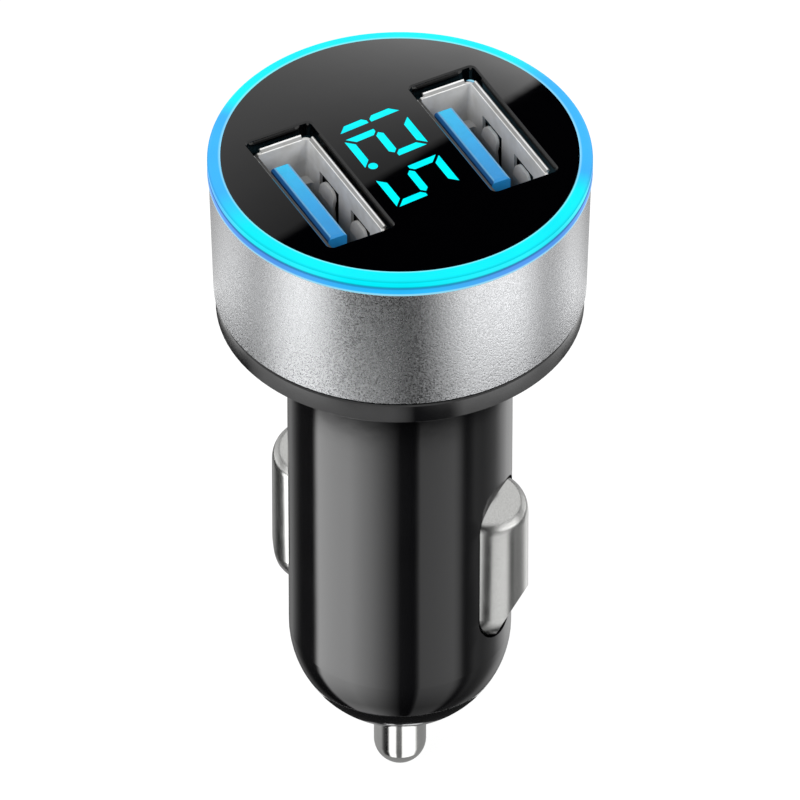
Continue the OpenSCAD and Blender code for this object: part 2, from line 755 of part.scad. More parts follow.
// Long board down the barrel; pegs enter the port board, its foot enters the carrier
module driver_board() {
    color(board_green) toward_contact(false) union() {
        block(driver_t, 2 * driver_half, driver_top - driver_foot, driver_foot);
        block(driver_t, 2 * tenon_half, driver_foot - tenon_foot + eps, tenon_foot);
        for (s = [-1, 1]) translate([0, s * peg_pitch / 2, 0])
            block(driver_t, peg_w, port_base_z - driver_top + eps, driver_top - eps);
    }
}

// Choke on the front of the driver board: two flanges and the winding between them
module inductor() {
    side_t = 0.9;
    winding_r = choke_r - 0.7;
    h = room(choke_v + choke_r);
    color("#2b2b2e") toward_contact(false) translate([face_u, choke_v, choke_z + choke_r])
        rotate([0, 90, 0]) {
            for (z = [0, h - side_t]) translate([0, 0, z]) cylinder(r = choke_r, h = side_t);
            translate([0, 0, eps]) cylinder(r = winding_r, h = h - 2 * eps);
        }
}

// Can of the output side, standing on the front of the driver board
module output_capacitor() {
    base_t = 0.4;
    h = room(output_can_v + output_can_r);
    color(bright) toward_contact(false)
        translate([face_u, -output_can_v, output_can_z + base_w / 2]) rotate([0, 90, 0]) {
            translate([0, 0, eps]) cylinder(r = output_can_r, h = h - eps);
            block(base_w, base_w, base_t);
        }
}

// Can of the input side, lying along the back of the driver board
module input_capacitor() {
    r = input_can_r;
    bead_r = 0.35;
    bead_z = 1.2;
    rolled = 0.5;
    color("#23262e") toward_contact(true) translate([face_u + r, input_can_v, input_can_z])
        difference() {
            cylinder(r = r, h = input_can_l);
            translate([0, 0, bead_z]) rotate_extrude() translate([r + bead_r / 2, 0]) circle(bead_r);
            translate([0, 0, input_can_l - rolled / 2]) cylinder(r = r - rolled, h = 1);
        }
}

// Converter chip with its two rows of legs
module converter_chip() {
    t = 1.5;
    foot = 0.1;
    lead_w = 0.42;
    lead_t = 0.2;
    lead_pitch = 1.27;
    reach = 1;
    color("#1a1a1c") toward_contact(true) translate([face_u, -chip_v, chip_z + chip_l / 2]) {
        translate([foot, -chip_w / 2, -chip_l / 2]) cube([t, chip_w, chip_l]);
        for (i = [-1.5 : 1.5]) translate([0, -chip_w / 2 - reach, i * lead_pitch - lead_w / 2])
            cube([lead_t, chip_w + 2 * reach, lead_w]);
    }
}

// Small fuse lying under the chip
module fuse() {
    cap_l = 1.2;
    cap_r = fuse_r + 0.2;
    color(nylon) toward_contact(true) translate([face_u + cap_r, -fuse_v, fuse_z]) {
        translate([0, 0, eps]) cylinder(r = fuse_r, h = fuse_l - 2 * eps);
        for (z = [0, fuse_l - cap_l]) translate([0, 0, z]) cylinder(r = cap_r, h = cap_l);
    }
}

// Moulded block between the side contacts: a slot for the board and a post for each spring
module contact_carrier() {
    post_r = side_spring_r - side_wire / 2 - 0.25;
    post_l = 1.5;
    color(nylon) toward_contact(false) difference() {
        union() {
            intersection() {
                block(2 * carrier_half, 2 * bore_r, carrier_top - carrier_foot, carrier_foot);
                translate([0, 0, carrier_foot - 1])
                    cylinder(r = bore_r - fit_clear, h = carrier_top - carrier_foot + 2);
            }
            for (s = [-1, 1]) translate([0, 0, spring_z]) rotate([0, s * 90, 0])
                cylinder(r = post_r, h = carrier_half + post_l);
        }
        block(driver_t + 2 * fit_clear, 2 * (tenon_half + fit_clear), barrel_l, tenon_foot - fit_clear);
        translate([0, 0, carrier_foot - 1])
            cylinder(r = seat_stem_r + fit_clear, h = tenon_foot - carrier_foot + 2);
    }
}

// Brass disc behind the tip spring, with a stem up to the driver board
module spring_seat() {
    color(gold) {
        translate([0, 0, seat_z]) cylinder(r = seat_disc_r, h = seat_disc_t);
        translate([0, 0, seat_z]) cylinder(r = seat_stem_r, h = tenon_foot - seat_z);
    }
}

// Spring between the seat and the tip's flange
module tip_spring() {
    z0 = nose_floor + tip_flange_t;
    color(steel) translate([0, 0, z0]) coil(tip_spring_r, tip_wire, tip_turns, seat_z - z0);
}

// Turned pin with a domed end, a small flat and a flange
module tip_contact() {
    color(bright) rotate_extrude() {
        intersection() {
            translate([0, tip_end + tip_r - tip_flat_drop]) circle(tip_r);
            translate([0, tip_end]) square([tip_r + 1, tip_r - tip_flat_drop + eps]);
        }
        translate([0, tip_end + tip_r - tip_flat_drop])
            square([tip_r, nose_floor - tip_end - tip_r + tip_flat_drop + eps]);
        translate([0, nose_floor]) square([tip_flange_r, tip_flange_t]);
    }
}

// Outline of a side contact seen from outside, grown by a clearance
module pill_outline(grow) {
    r = pill_r + grow;
    for (z = [pill_centre_z, pill_low_z]) translate([0, z]) circle(r);
    translate([-r, pill_low_z]) square([2 * r, pill_centre_z - pill_low_z]);
}

// Half section of a side contact round its own axis, shrunk for its hollow
module pill_section(shrink) {
    r = pill_r - shrink;
    intersection() {
        for (z = [pill_centre_z, pill_low_z]) translate([0, z]) circle(r);
        translate([0, pill_low_z - r - 1]) square([r + 1, pill_centre_z - pill_low_z + 2 * r + 2]);
    }
    translate([0, pill_low_z]) square([r, pill_centre_z - pill_low_z]);
}

// A side contact's pill, shrunk for its hollow, with the slanted lead-in cut off it
module pill(shrink) {
    difference() {
        translate([pill_axis, 0, 0]) rotate_extrude() pill_section(shrink);
        translate([pill_axis + pill_r, 0, nose_z + lead_start]) rotate([0, lead_angle, 0])
            translate([-shrink, -2 * pill_r, -4 * pill_r]) cube(4 * pill_r);
    }
}

// Stamped side contact: a hollow pill with a slanted lead-in, and a rim behind the barrel wall
module side_contact(rear) {
    z0 = pill_foot_z - pill_rim;
    z1 = pill_top_z + pill_rim * 0.6;
    w = 2 * (pill_r + pill_rim);
    color(bright) toward_contact(rear) difference() {
        union() {
            pill(0);
            intersection() {
                translate([0, 0, z0]) difference() {
                    cylinder(r = rim_r, h = z1 - z0);
                    translate([0, 0, -1]) cylinder(r = rim_r - rim_t, h = z1 - z0 + 2);
                }
                outward(0, barrel_r) translate([0, (z0 + z1) / 2]) round_rect(w, z1 - z0, 2);
            }
        }
        pill(pill_t);
        // The stamping is open on the inside
        difference() {
            translate([0, 0, z0 - 1]) cylinder(r = rim_r - rim_t, h = z1 - z0 + 2);
            translate([-2 * barrel_r, -barrel_r, z0 - 2])
                cube([2 * barrel_r, 2 * barrel_r, z1 - z0 + 4]);
        }
    }
}

// Spring between the carrier and a side contact
module side_spring(rear) {
    color(steel) toward_contact(rear) translate([carrier_half, 0, spring_z]) rotate([0, 90, 0])
        coil(side_spring_r, side_wire, side_turns, side_spring_end - carrier_half, 14, 6);
}

body_shell();
metal_sleeve();
light_ring();
face_panel();
light_guide();
display_module();
display_board();
ring_led(0);  // ring_led_1
ring_led(70);  // ring_led_2
ring_led(180);  // ring_led_3
ring_led(250);  // ring_led_4
board_header(-1);  // board_header_front
board_header(1);  // board_header_rear
port_board();
usb_shell(-1);  // usb_shell_left
usb_shell(1);  // usb_shell_right
usb_tongue(-1);  // usb_tongue_left
usb_tongue(1);  // usb_tongue_right
strip(-1, 0);  // left_strip_1
strip(-1, 1);  // left_strip_2
strip(-1, 2);  // left_strip_3
strip(-1, 3);  // left_strip_4
strip(1, 0);  // right_strip_1
strip(1, 1);  // right_strip_2
strip(1, 2);  // right_strip_3
strip(1, 3);  // right_strip_4
driver_board();
inductor();
input_capacitor();
output_capacitor();
converter_chip();
fuse();
contact_carrier();
spring_seat();
tip_spring();
tip_contact();
side_contact(false);  // side_contact_front
side_contact(true);  // side_contact_rear
side_spring(false);  // side_spring_front
side_spring(true);  // side_spring_rear
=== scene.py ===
"""Looks of a car charger plug with two USB ports and a lit number display.

Run as a script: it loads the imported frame, gives every piece its finish, winds the springs, sets up
the stage and finishes. All lengths are metres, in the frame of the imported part: Z points up the
plug, X runs from the left port to the right one, and the origin is at the underside of the lip.
"""

import json
import math

import bpy
from bpy.props import FloatProperty, FloatVectorProperty, IntProperty, PointerProperty
from mathutils import Matrix, Vector


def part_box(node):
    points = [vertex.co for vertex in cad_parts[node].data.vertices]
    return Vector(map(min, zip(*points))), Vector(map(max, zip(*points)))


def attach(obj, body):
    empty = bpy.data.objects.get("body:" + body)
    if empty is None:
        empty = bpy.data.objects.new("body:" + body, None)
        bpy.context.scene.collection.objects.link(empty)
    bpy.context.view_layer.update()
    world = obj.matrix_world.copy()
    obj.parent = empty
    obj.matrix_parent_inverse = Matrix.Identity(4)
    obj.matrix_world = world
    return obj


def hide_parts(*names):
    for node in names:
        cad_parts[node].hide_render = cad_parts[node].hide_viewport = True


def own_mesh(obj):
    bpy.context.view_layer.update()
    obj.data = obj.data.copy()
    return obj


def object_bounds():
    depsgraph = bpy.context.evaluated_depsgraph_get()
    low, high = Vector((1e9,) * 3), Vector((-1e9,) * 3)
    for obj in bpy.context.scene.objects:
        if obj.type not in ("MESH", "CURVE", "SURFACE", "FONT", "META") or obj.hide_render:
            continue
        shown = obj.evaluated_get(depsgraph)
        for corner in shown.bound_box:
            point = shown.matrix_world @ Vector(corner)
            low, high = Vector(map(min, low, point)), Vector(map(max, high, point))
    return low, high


bl_info = {
    "name": "Car Charger Plug Looks",
    "version": (1, 0, 0),
    "blender": (4, 5, 0),
    "location": "3D View > Sidebar > Plug",
    "description": "Finishes, springs and stage of a car charger plug with two USB ports",
    "category": "Object",
}

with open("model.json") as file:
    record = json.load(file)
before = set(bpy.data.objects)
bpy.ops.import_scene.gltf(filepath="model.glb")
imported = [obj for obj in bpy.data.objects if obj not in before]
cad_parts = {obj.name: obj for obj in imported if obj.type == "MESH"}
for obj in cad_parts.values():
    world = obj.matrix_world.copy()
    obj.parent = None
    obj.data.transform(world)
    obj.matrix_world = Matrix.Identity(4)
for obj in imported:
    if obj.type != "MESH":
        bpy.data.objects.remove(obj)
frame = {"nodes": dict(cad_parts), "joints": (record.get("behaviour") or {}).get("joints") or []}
CAD_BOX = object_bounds()
NODES = frame["nodes"]
MM = 0.001


def linear(hex_colour, alpha=1.0):
    """Linear RGBA of an sRGB hex colour."""
    parts = [int(hex_colour[i:i + 2], 16) / 255 for i in (1, 3, 5)]
    return [p / 12.92 if p <= 0.04045 else ((p + 0.055) / 1.055) ** 2.4 for p in parts] + [alpha]


def colour(name, hex_colour, description):
    """A colour that a user may change."""
    return FloatVectorProperty(name=name, description=description, subtype="COLOR", size=4,
                               min=0, max=1, default=linear(hex_colour))


def length(name, mm, description):
    """A length that a user may change, given in millimetres and kept in metres."""
    return FloatProperty(name=name, description=description, default=mm * MM, min=0, precision=6,
                         unit="LENGTH")


class PlugColours(bpy.types.PropertyGroup):
    """Colours of the plug's finishes."""

    shell: colour("Shell", "#0b0b0d", "Black of the moulded shell")
    face: colour("Face", "#010102", "Black of the gloss face")
    sleeve: colour("Sleeve", "#c9cacc", "Blasted aluminium of the sleeve")
    ring_near: colour("Ring at a lamp", "#04eefc", "Light of the ring's top near a lamp")
    ring_far: colour("Ring between lamps", "#3cb4fc", "Light of the ring's top between two lamps")
    ring_foot_near: colour("Ring foot at a lamp", "#2cb8f8", "Light of the ring's foot near a lamp")
    ring_foot_far: colour("Ring foot elsewhere", "#4a95ec", "Light of the ring's foot elsewhere")
    # Painted highlight: the pale lines along the ring's edges
    ring_edge_highlight: colour("Ring lines", "#a4e4ee", "Pale lines where light leaves at the ring's edges")
    digits: colour("Digits", "#00f0ff", "Light of the digits")
    nickel: colour("Port shells", "#fbfaf6", "Nickel plate of the port shells")
    tongue: colour("Tongues", "#20b6ec", "Blue plastic of the port tongues")
    # Painted shade: the deeper blue of the tongues' sides
    tongue_side_shade: colour("Tongue sides", "#1c62a4", "Deeper blue of the tongues' shaded sides")
    gold: colour("Strips", "#d8b04a", "Gold plate of the contact strips")
    board: colour("Boards", "#1d5a3a", "Green lacquer of the circuit boards")
    black_board: colour("Display board", "#0a0a0b", "Black lacquer of the board under the face")
    contact: colour("Contacts", "#d2d2d0", "Plated metal of the tip and the side contacts")
    nylon: colour("Nylon", "#e8e4d8", "Natural nylon of the carrier")


class PlugGrain(bpy.types.PropertyGroup):
    """Real sizes of the fine patterns in the finishes."""

    peel: length("Orange peel", 1.8, "Width of the soft waves in moulded gloss plastic")
    blast: length("Blast grain", 0.17, "Width of a crater in the blasted aluminium")
    rolling: length("Rolling lines", 0.12, "Distance of the lines in rolled sheet metal")
    turning: length("Turning marks", 0.09, "Feed of the lathe on turned metal")
    weave: length("Board weave", 0.5, "Thread spacing of the glass cloth in a board")


class PlugSprings(bpy.types.PropertyGroup):
    """Sizes of the three coil springs."""

    tip_radius: length("Tip spring radius", 2.6, "Middle radius of the tip spring")
    tip_wire: length("Tip spring wire", 0.5, "Wire of the tip spring")
    tip_turns: IntProperty(name="Tip spring turns", description="Turns of the tip spring",
                           default=6, min=4, max=8)
    side_radius: length("Side spring radius", 1.95, "Middle radius of a side spring")
    side_wire: length("Side spring wire", 0.4, "Wire of a side spring")
    side_turns: IntProperty(name="Side spring turns", description="Turns of a side spring",
                            default=5, min=4, max=7)


class PlugStage(bpy.types.PropertyGroup):
    """Camera and light."""

    azimuth: FloatProperty(name="Camera azimuth", description="Turn of the camera round the plug",
                           subtype="ANGLE", default=math.radians(-27.9))
    elevation: FloatProperty(name="Camera elevation", description="Height angle of the camera",
                             subtype="ANGLE", default=math.radians(41))
    lens: FloatProperty(name="Lens", description="Focal length in millimetres", default=1000,
                        min=50, max=2000)
    distance: length("Camera distance", 2039, "Distance of the camera from its target")
    target: length("Target height", -11.7, "Height of the point the camera looks at")
    floor: colour("Floor", "#f4f4f4", "Colour of the floor")
    lamp: FloatProperty(name="Lamp power", description="Power of the main lamp", default=3.6,
                        unit="POWER", min=0)
    world: FloatProperty(name="Sky light", description="Strength of the world on dull surfaces",
                         default=0.6, min=0)


# Helpers

def fill(made, inputs):
    """Sets a node's inputs: a socket, or another node's first output, is linked."""
    for key, value in inputs.items():
        if isinstance(value, bpy.types.Node):
            value = value.outputs[0]
        if isinstance(value, bpy.types.NodeSocket):
            made.id_data.links.new(value, made.inputs[key])
        else:
            made.inputs[key].default_value = value


def node(tree, kind, inputs=None, **settings):
    """Adds a shader node. Settings are its properties; inputs are as in fill."""
    made = tree.nodes.new("ShaderNode" + kind)
    for name, value in settings.items():
        setattr(made, name, value)
    fill(made, inputs or {})
    return made


def empty_tree(owner):
    """The node tree of a material or world, with nothing in it."""
    owner.use_nodes = True
    owner.node_tree.nodes.clear()
    return owner.node_tree


def finish(name, **fixed):
    """A new material with its shader and the piece's own coordinates in metres."""
    material = bpy.data.materials.new(name)
    tree = empty_tree(material)
    shader = node(tree, "BsdfPrincipled", {k.replace("_", " "): v for k, v in fixed.items()})
    node(tree, "OutputMaterial", {"Surface": shader})
    return material, tree, shader, node(tree, "TexCoord").outputs["Object"]


def shades(ramp, stops):
    """Sets a colour ramp's stops: place and colour or grey."""
    elements = ramp.color_ramp.elements
    while len(elements) < len(stops):
        elements.new(0.5)
    for element, (place, value) in zip(elements, stops):
        element.position = place
        element.color = value if hasattr(value, "__len__") else [value, value, value, 1]
    return ramp


def times(base, factor, lift=0.0):
    """A colour made lighter or darker by a factor, and then lifted."""
    return [min(1, c * factor + lift) for c in base[:3]] + [1]


def new_mesh(name, points, faces):
    """A mesh of these points and faces."""
    mesh = bpy.data.meshes.new(name)
    mesh.from_pydata(points, [], faces)
    return mesh


def add(name, data):
    """Puts a new object with this data in the scene."""
    made = bpy.data.objects.new(name, data)
    bpy.context.scene.collection.objects.link(made)
    return made


def dress(material, *names):
    """Gives CAD nodes this material."""
    for name in names:
        mesh = NODES[name].data
        mesh.materials.clear()
        mesh.materials.append(material)


def plug(context):
    """The scene's property groups of this add-on."""
    scene = context.scene
    return scene.plug_colours, scene.plug_grain, scene.plug_springs, scene.plug_stage


# Finishes

# Width of the grain in a moulded skin
SKIN = 0.12 * MM
# Gloss of the lit plastics, kept low so that the sky doesn't wash out their light
LIT_GLOSS = 0.12
# In a Mix node of colours, input 0 is the share of the second colour, inputs 6 and 7 are the
# colours, and output 2 is the result


def gloss_polycarbonate(name, base, peel, roughness):
    """Gloss black polycarbonate from a polished mould.

    Deep black with a clear highlight whose edges waver a little, as the skin shrinks in the mould.
    """
    material, tree, shader, place = finish(name, IOR=1.585)
    cloud = node(tree, "TexNoise", {"Vector": place, "Scale": 1 / (6 * peel), "Detail": 3.0})
    tone = shades(node(tree, "ValToRGB", {"Fac": cloud}), [
        (0.35, base), (0.7, times(base, 1.35, 0.0002))])
    wear = shades(node(tree, "ValToRGB", {"Fac": cloud}), [
        (0.3, roughness * 0.75), (0.75, roughness * 1.3)])
    waves = node(tree, "TexNoise", {"Vector": place, "Scale": 1 / peel, "Detail": 1.5})
    bump = node(tree, "Bump", {"Strength": 0.12, "Distance": 0.02 * MM, "Height": waves})
    fill(shader, {"Base Color": tone, "Roughness": wear, "Normal": bump})
    return material


def blasted_aluminium(name, base, grain):
    """Aluminium tube, bead blasted and anodised clear.

    A silver that spreads light widely. The craters of the beads tilt the surface and differ in
    tone and shine, which gives a fine sparkle. They are drawn about twice as wide as real ones, so
    that they show.
    """
    material, tree, shader, place = finish(name, Metallic=1.0)
    craters = node(tree, "TexNoise", {"Vector": place, "Scale": 1 / grain, "Detail": 1.0})
    tone = shades(node(tree, "ValToRGB", {"Fac": craters}), [
        (0.38, times(base, 0.88)), (0.62, times(base, 1.06))])
    spread = shades(node(tree, "ValToRGB", {"Fac": craters}), [(0.38, 0.17), (0.62, 0.34)])
    bump = node(tree, "Bump", {"Strength": 1.0, "Distance": 0.012 * MM, "Height": craters})
    fill(shader, {"Base Color": tone, "Roughness": spread, "Normal": bump})
    return material


def lit_polycarbonate_ring(name, colours):
    """Milky polycarbonate ring with lamps behind it.

    Cyan where a lamp stands behind it and bluer between two lamps, deeper at its foot. Painted shade
    draws darker lines in its grooves, and painted highlights draw pale lines along its edges.
    """
    material, tree, shader, place = finish(name, Roughness=0.2, Emission_Strength=1.0,
                                           Specular_IOR_Level=LIT_GLOSS)
    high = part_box("light_ring")[1]
    split = node(tree, "SeparateXYZ", {"Vector": place})
    turn = node(tree, "Math", {0: split.outputs["Y"], 1: split.outputs["X"]}, operation="ARCTAN2")
    round_it = node(tree, "MapRange", {"Value": turn, "From Min": -math.pi, "From Max": math.pi})
    near, far = colours.ring_near[:], colours.ring_far[:]
    half = [(a + b) / 2 for a, b in zip(near, far)]
    top = shades(node(tree, "ValToRGB", {"Fac": round_it}), [
        (0.0, half), (0.024, near), (0.375, near), (0.4, far), (0.53, far), (0.572, near),
        (0.848, near), (0.87, far), (0.974, far), (1.0, half)])
    near, far = colours.ring_foot_near[:], colours.ring_foot_far[:]
    foot = shades(node(tree, "ValToRGB", {"Fac": round_it}), [
        (0.0, far), (0.06, far), (0.14, near), (0.2, near), (0.27, far), (0.6, far), (0.7, near),
        (0.76, near), (0.85, far)])
    height = node(tree, "MapRange", {"Value": split.outputs["Z"], "From Min": high.z - 2 * MM,
                                     "From Max": high.z})
    low = shades(node(tree, "ValToRGB", {"Fac": height}), [(0.42, 1.0), (0.54, 0.0)])
    body = node(tree, "Mix", {0: low, 6: top, 7: foot}, data_type="RGBA")
    # Painted shade: darker lines along the ring's grooves
    lines = shades(node(tree, "ValToRGB", {"Fac": height}), [
        (0.2, 1.0), (0.38, 0.94), (0.44, 0.52), (0.52, 0.56), (0.6, 0.95), (0.78, 1.0),
        (0.82, 0.74), (0.88, 0.86), (0.94, 1.0)])
    drift = node(tree, "TexNoise", {"Vector": place, "Scale": 1 / (5 * MM), "Detail": 1.0})
    patch = shades(node(tree, "ValToRGB", {"Fac": drift}), [(0.35, 0.93), (0.65, 1.0)])
    shade = node(tree, "Math", {0: lines, 1: patch}, operation="MULTIPLY")
    # The skirt inside the sleeve doesn't shine
    shown = node(tree, "MapRange", {"Value": split.outputs["Z"], "From Min": high.z - 2.5 * MM,
                                    "From Max": high.z - 2.3 * MM})
    shade = node(tree, "Math", {0: shade, 1: shown}, operation="MULTIPLY")
    glow = node(tree, "VectorMath", {0: body.outputs[2], "Scale": shade}, operation="SCALE")
    # Painted highlights: pale lines along the inner edge of the top and the lower edge of the foot
    across = node(tree, "VectorMath", {0: place, 1: (1.0, 1.0, 0.0)}, operation="MULTIPLY")
    out = node(tree, "VectorMath", {0: across}, operation="LENGTH")
    inner = node(tree, "MapRange", {"Value": out.outputs["Value"], "From Min": high.x - 1.1 * MM,
                                    "From Max": high.x - 0.95 * MM, "To Min": 0.55, "To Max": 0.0})
    outer = shades(node(tree, "ValToRGB", {"Fac": height}), [(0.05, 0.8), (0.13, 0.6), (0.17, 0.0)])
    edge_highlight = node(tree, "Math", {0: inner, 1: outer}, operation="MAXIMUM")
    edge_highlight = node(tree, "Math", {0: edge_highlight, 1: shown}, operation="MULTIPLY")
    last = node(tree, "Mix", {0: edge_highlight, 6: glow, 7: colours.ring_edge_highlight[:]}, data_type="RGBA")
    dark = node(tree, "Mix", {0: 0.9, 6: last.outputs[2], 7: [0, 0, 0, 1]}, data_type="RGBA")
    fill(shader, {"Base Color": dark.outputs[2], "Emission Color": last.outputs[2]})
    return material


def lit_acrylic_bars(name, base):
    """Clear acrylic light guide, moulded, lit from below.

    Flat bright bars whose light is faintly uneven, as it comes up through the plate.
    """
    material, tree, shader, place = finish(name, Roughness=0.06, Emission_Strength=1.0, IOR=1.49,
                                           Specular_IOR_Level=LIT_GLOSS)
    spots = node(tree, "TexNoise", {"Vector": place, "Scale": 1 / (1.6 * MM), "Detail": 1.0})
    tone = shades(node(tree, "ValToRGB", {"Fac": spots}), [
        (0.3, times(base, 0.94)), (0.7, times(base, 1.08))])
    # The plate under the bars is masked black and only the bars' tops shine
    height = node(tree, "SeparateXYZ", {"Vector": place}).outputs["Z"]
    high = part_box("light_guide")[1].z
    bare = node(tree, "MapRange", {"Value": height, "From Min": high - 0.3 * MM,
                                   "From Max": high - 0.1 * MM})
    glow = node(tree, "VectorMath", {0: tone, "Scale": bare}, operation="SCALE")
    dark = node(tree, "VectorMath", {0: glow, "Scale": 0.1}, operation="SCALE")
    fill(shader, {"Emission Color": glow, "Base Color": dark})
    return material


def nickel_plated_sheet(name, base, rolling, roughness, low, high):
    """Steel sheet, stamped and nickel plated.

    A satin grey with fine upright rolling lines. The matt plate scatters much of the light, so the
    walls stay pale. Painted shade darkens them where they go down into the plug and behind the
    tongue, and painted highlights make the lips shine along their bend and their edge, with a duller
    strip between.
    """
    material, tree, shader, place = finish(name, Metallic=0.3)
    stretch = node(tree, "Mapping", {"Vector": place, "Scale": (1.0, 1.0, 0.04)})
    lines = node(tree, "TexNoise", {"Vector": stretch, "Scale": 1 / rolling, "Detail": 3.0})
    cloud = node(tree, "TexNoise", {"Vector": place, "Scale": 1 / (1.5 * MM), "Detail": 2.0})
    tone = shades(node(tree, "ValToRGB", {"Fac": cloud}), [
        (0.3, times(base, 0.88)), (0.7, times(base, 1.08))])
    shine = shades(node(tree, "ValToRGB", {"Fac": lines}), [
        (0.3, roughness * 0.8), (0.7, roughness * 1.2)])
    bump = node(tree, "Bump", {"Strength": 0.25, "Distance": 0.008 * MM, "Height": lines})
    split = node(tree, "SeparateXYZ", {"Vector": place})
    # Painted shade: the walls darken where they go down into the plug
    depth_shade = node(tree, "MapRange", {"Value": split.outputs["Z"], "From Min": high.z - 7 * MM,
                                    "From Max": high.z - 1 * MM, "To Min": 0.22, "To Max": 0.95})
    rim = node(tree, "MapRange", {"Value": split.outputs["Z"], "From Min": high.z - 0.6 * MM,
                                  "From Max": high.z})
    # Painted highlights along the lips' bend and edge, with a duller strip between
    lip = shades(node(tree, "ValToRGB", {"Fac": rim}), [
        (0.26, 1.0), (0.34, 1.06), (0.44, 1.06), (0.5, 0.4), (0.8, 0.4), (0.86, 1.06)])
    # Painted shadow of the tongue on the long wall at low X
    tongue_shadow = node(tree, "MapRange", {"Value": split.outputs["X"], "From Min": low.x + 0.35 * MM,
                                     "From Max": low.x + 0.5 * MM, "To Min": 0.06, "To Max": 1.0})
    level = node(tree, "Math", {0: depth_shade, 1: lip}, operation="MULTIPLY")
    level = node(tree, "Math", {0: level, 1: tongue_shadow}, operation="MULTIPLY")
    last = node(tree, "VectorMath", {0: tone, "Scale": level}, operation="SCALE")
    fill(shader, {"Base Color": last, "Roughness": shine, "Normal": bump})
    return material


def moulded_polymer(name, base, roughness, flow):
    """Filled polymer, injection moulded, with an even satin skin.

    Slightly cloudy colour and a soft highlight, with faint flow marks.
    """
    material, tree, shader, place = finish(name, IOR=1.52)
    cloud = node(tree, "TexNoise", {"Vector": place, "Scale": 1 / flow, "Detail": 3.0,
                                    "Distortion": 0.6})
    tone = shades(node(tree, "ValToRGB", {"Fac": cloud}), [
        (0.3, times(base, 0.86)), (0.72, times(base, 1.08))])
    skin = node(tree, "TexNoise", {"Vector": place, "Scale": 1 / SKIN, "Detail": 1.0})
    shine = shades(node(tree, "ValToRGB", {"Fac": skin}), [
        (0.3, roughness * 0.85), (0.7, roughness * 1.15)])
    bump = node(tree, "Bump", {"Strength": 0.2, "Distance": 0.01 * MM, "Height": skin})
    fill(shader, {"Base Color": tone, "Roughness": shine, "Normal": bump})
    return material


def tongue_polyester(name, colours):
    """Glass filled polyester, injection moulded, blue.

    A bright top, lighter towards +Y, and upright sides in a deeper blue that darkens downwards: the
    contrast of top and sides is painted light and shade. A painted highlight makes a pale line along
    its edges.
    """
    material, tree, shader, place = finish(name, IOR=1.57)
    low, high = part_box("usb_tongue_left")
    split = node(tree, "SeparateXYZ", {"Vector": place})
    facing = node(tree, "SeparateXYZ", {"Vector": node(tree, "NewGeometry").outputs["True Normal"]})
    along = node(tree, "MapRange", {"Value": split.outputs["Y"], "From Min": low.y,
                                    "From Max": high.y})
    top, side = colours.tongue[:], colours.tongue_side_shade[:]
    crown = shades(node(tree, "ValToRGB", {"Fac": along}), [
        (0.0, linear("#188ad0")), (0.45, linear("#1ca0e2")), (0.85, top), (1.0, linear("#24caf4"))])
    # Painted highlight: a pale line on the bevels between the top and the sides
    edge_highlight = shades(node(tree, "ValToRGB", {"Fac": facing.outputs["Z"]}), [
        (0.5, [0, 0, 0, 1]), (0.65, [1, 1, 1, 1]), (0.8, [1, 1, 1, 1]), (0.95, [0, 0, 0, 1])])
    # Painted light: faces that look up, and the end that faces -Y, take the bright top colour
    lit_faces = shades(node(tree, "ValToRGB", {"Fac": facing.outputs["Z"]}), [(0.5, 0.0), (0.9, 1.0)])
    # The bevel of the side away from the strips stays in the deep blue painted shade, below a thin
    # painted highlight line
    away = node(tree, "MapRange", {"Value": facing.outputs["X"], "From Min": -0.4, "From Max": -0.6,
                                   "To Min": 1.0, "To Max": 0.0})
    brow = node(tree, "MapRange", {"Value": split.outputs["Z"], "From Min": high.z - 0.14 * MM,
                                   "From Max": high.z - 0.08 * MM})
    keep = node(tree, "Math", {0: away, 1: brow}, operation="MAXIMUM")
    end = node(tree, "MapRange", {"Value": facing.outputs["Y"], "From Min": -0.4, "From Max": -0.6})
    edge_highlight = node(tree, "Math", {0: edge_highlight, 1: keep}, operation="MULTIPLY")
    edge_highlight = node(tree, "Math", {0: edge_highlight, 1: end}, operation="SUBTRACT", use_clamp=True)
    lit_faces = node(tree, "Math", {0: lit_faces, 1: away}, operation="MULTIPLY")
    lit_faces = node(tree, "Math", {0: lit_faces, 1: end}, operation="MAXIMUM")
    # Painted shade: the sides darken towards the bottom
    depth_shade = node(tree, "MapRange", {"Value": split.outputs["Z"], "From Min": low.z,
                                    "From Max": high.z, "To Min": 0.35, "To Max": 1.0})
    wall = node(tree, "VectorMath", {0: side[:3], "Scale": depth_shade}, operation="SCALE")
    both = node(tree, "Mix", {0: lit_faces, 6: wall, 7: crown}, data_type="RGBA")
    # Painted highlight colour along the edges
    with_edge_highlight = node(tree, "Mix", {0: edge_highlight, 6: both.outputs[2], 7: linear("#7cc4f4")}, data_type="RGBA")
    fibres = node(tree, "TexNoise", {"Vector": place, "Scale": 1 / (0.9 * MM), "Detail": 3.0,
                                     "Distortion": 0.6})
    cloud = shades(node(tree, "ValToRGB", {"Fac": fibres}), [(0.3, 0.92), (0.7, 1.0)])
    tone = node(tree, "Mix", {0: 1.0, 6: with_edge_highlight.outputs[2], 7: cloud}, data_type="RGBA",
                blend_type="MULTIPLY")
    skin = node(tree, "TexNoise", {"Vector": place, "Scale": 1 / SKIN, "Detail": 1.0})
    shine = shades(node(tree, "ValToRGB", {"Fac": skin}), [(0.3, 0.3), (0.7, 0.4)])
    bump = node(tree, "Bump", {"Strength": 0.15, "Distance": 0.01 * MM, "Height": skin})
    fill(shader, {"Base Color": tone.outputs[2], "Roughness": shine, "Normal": bump})
    return material


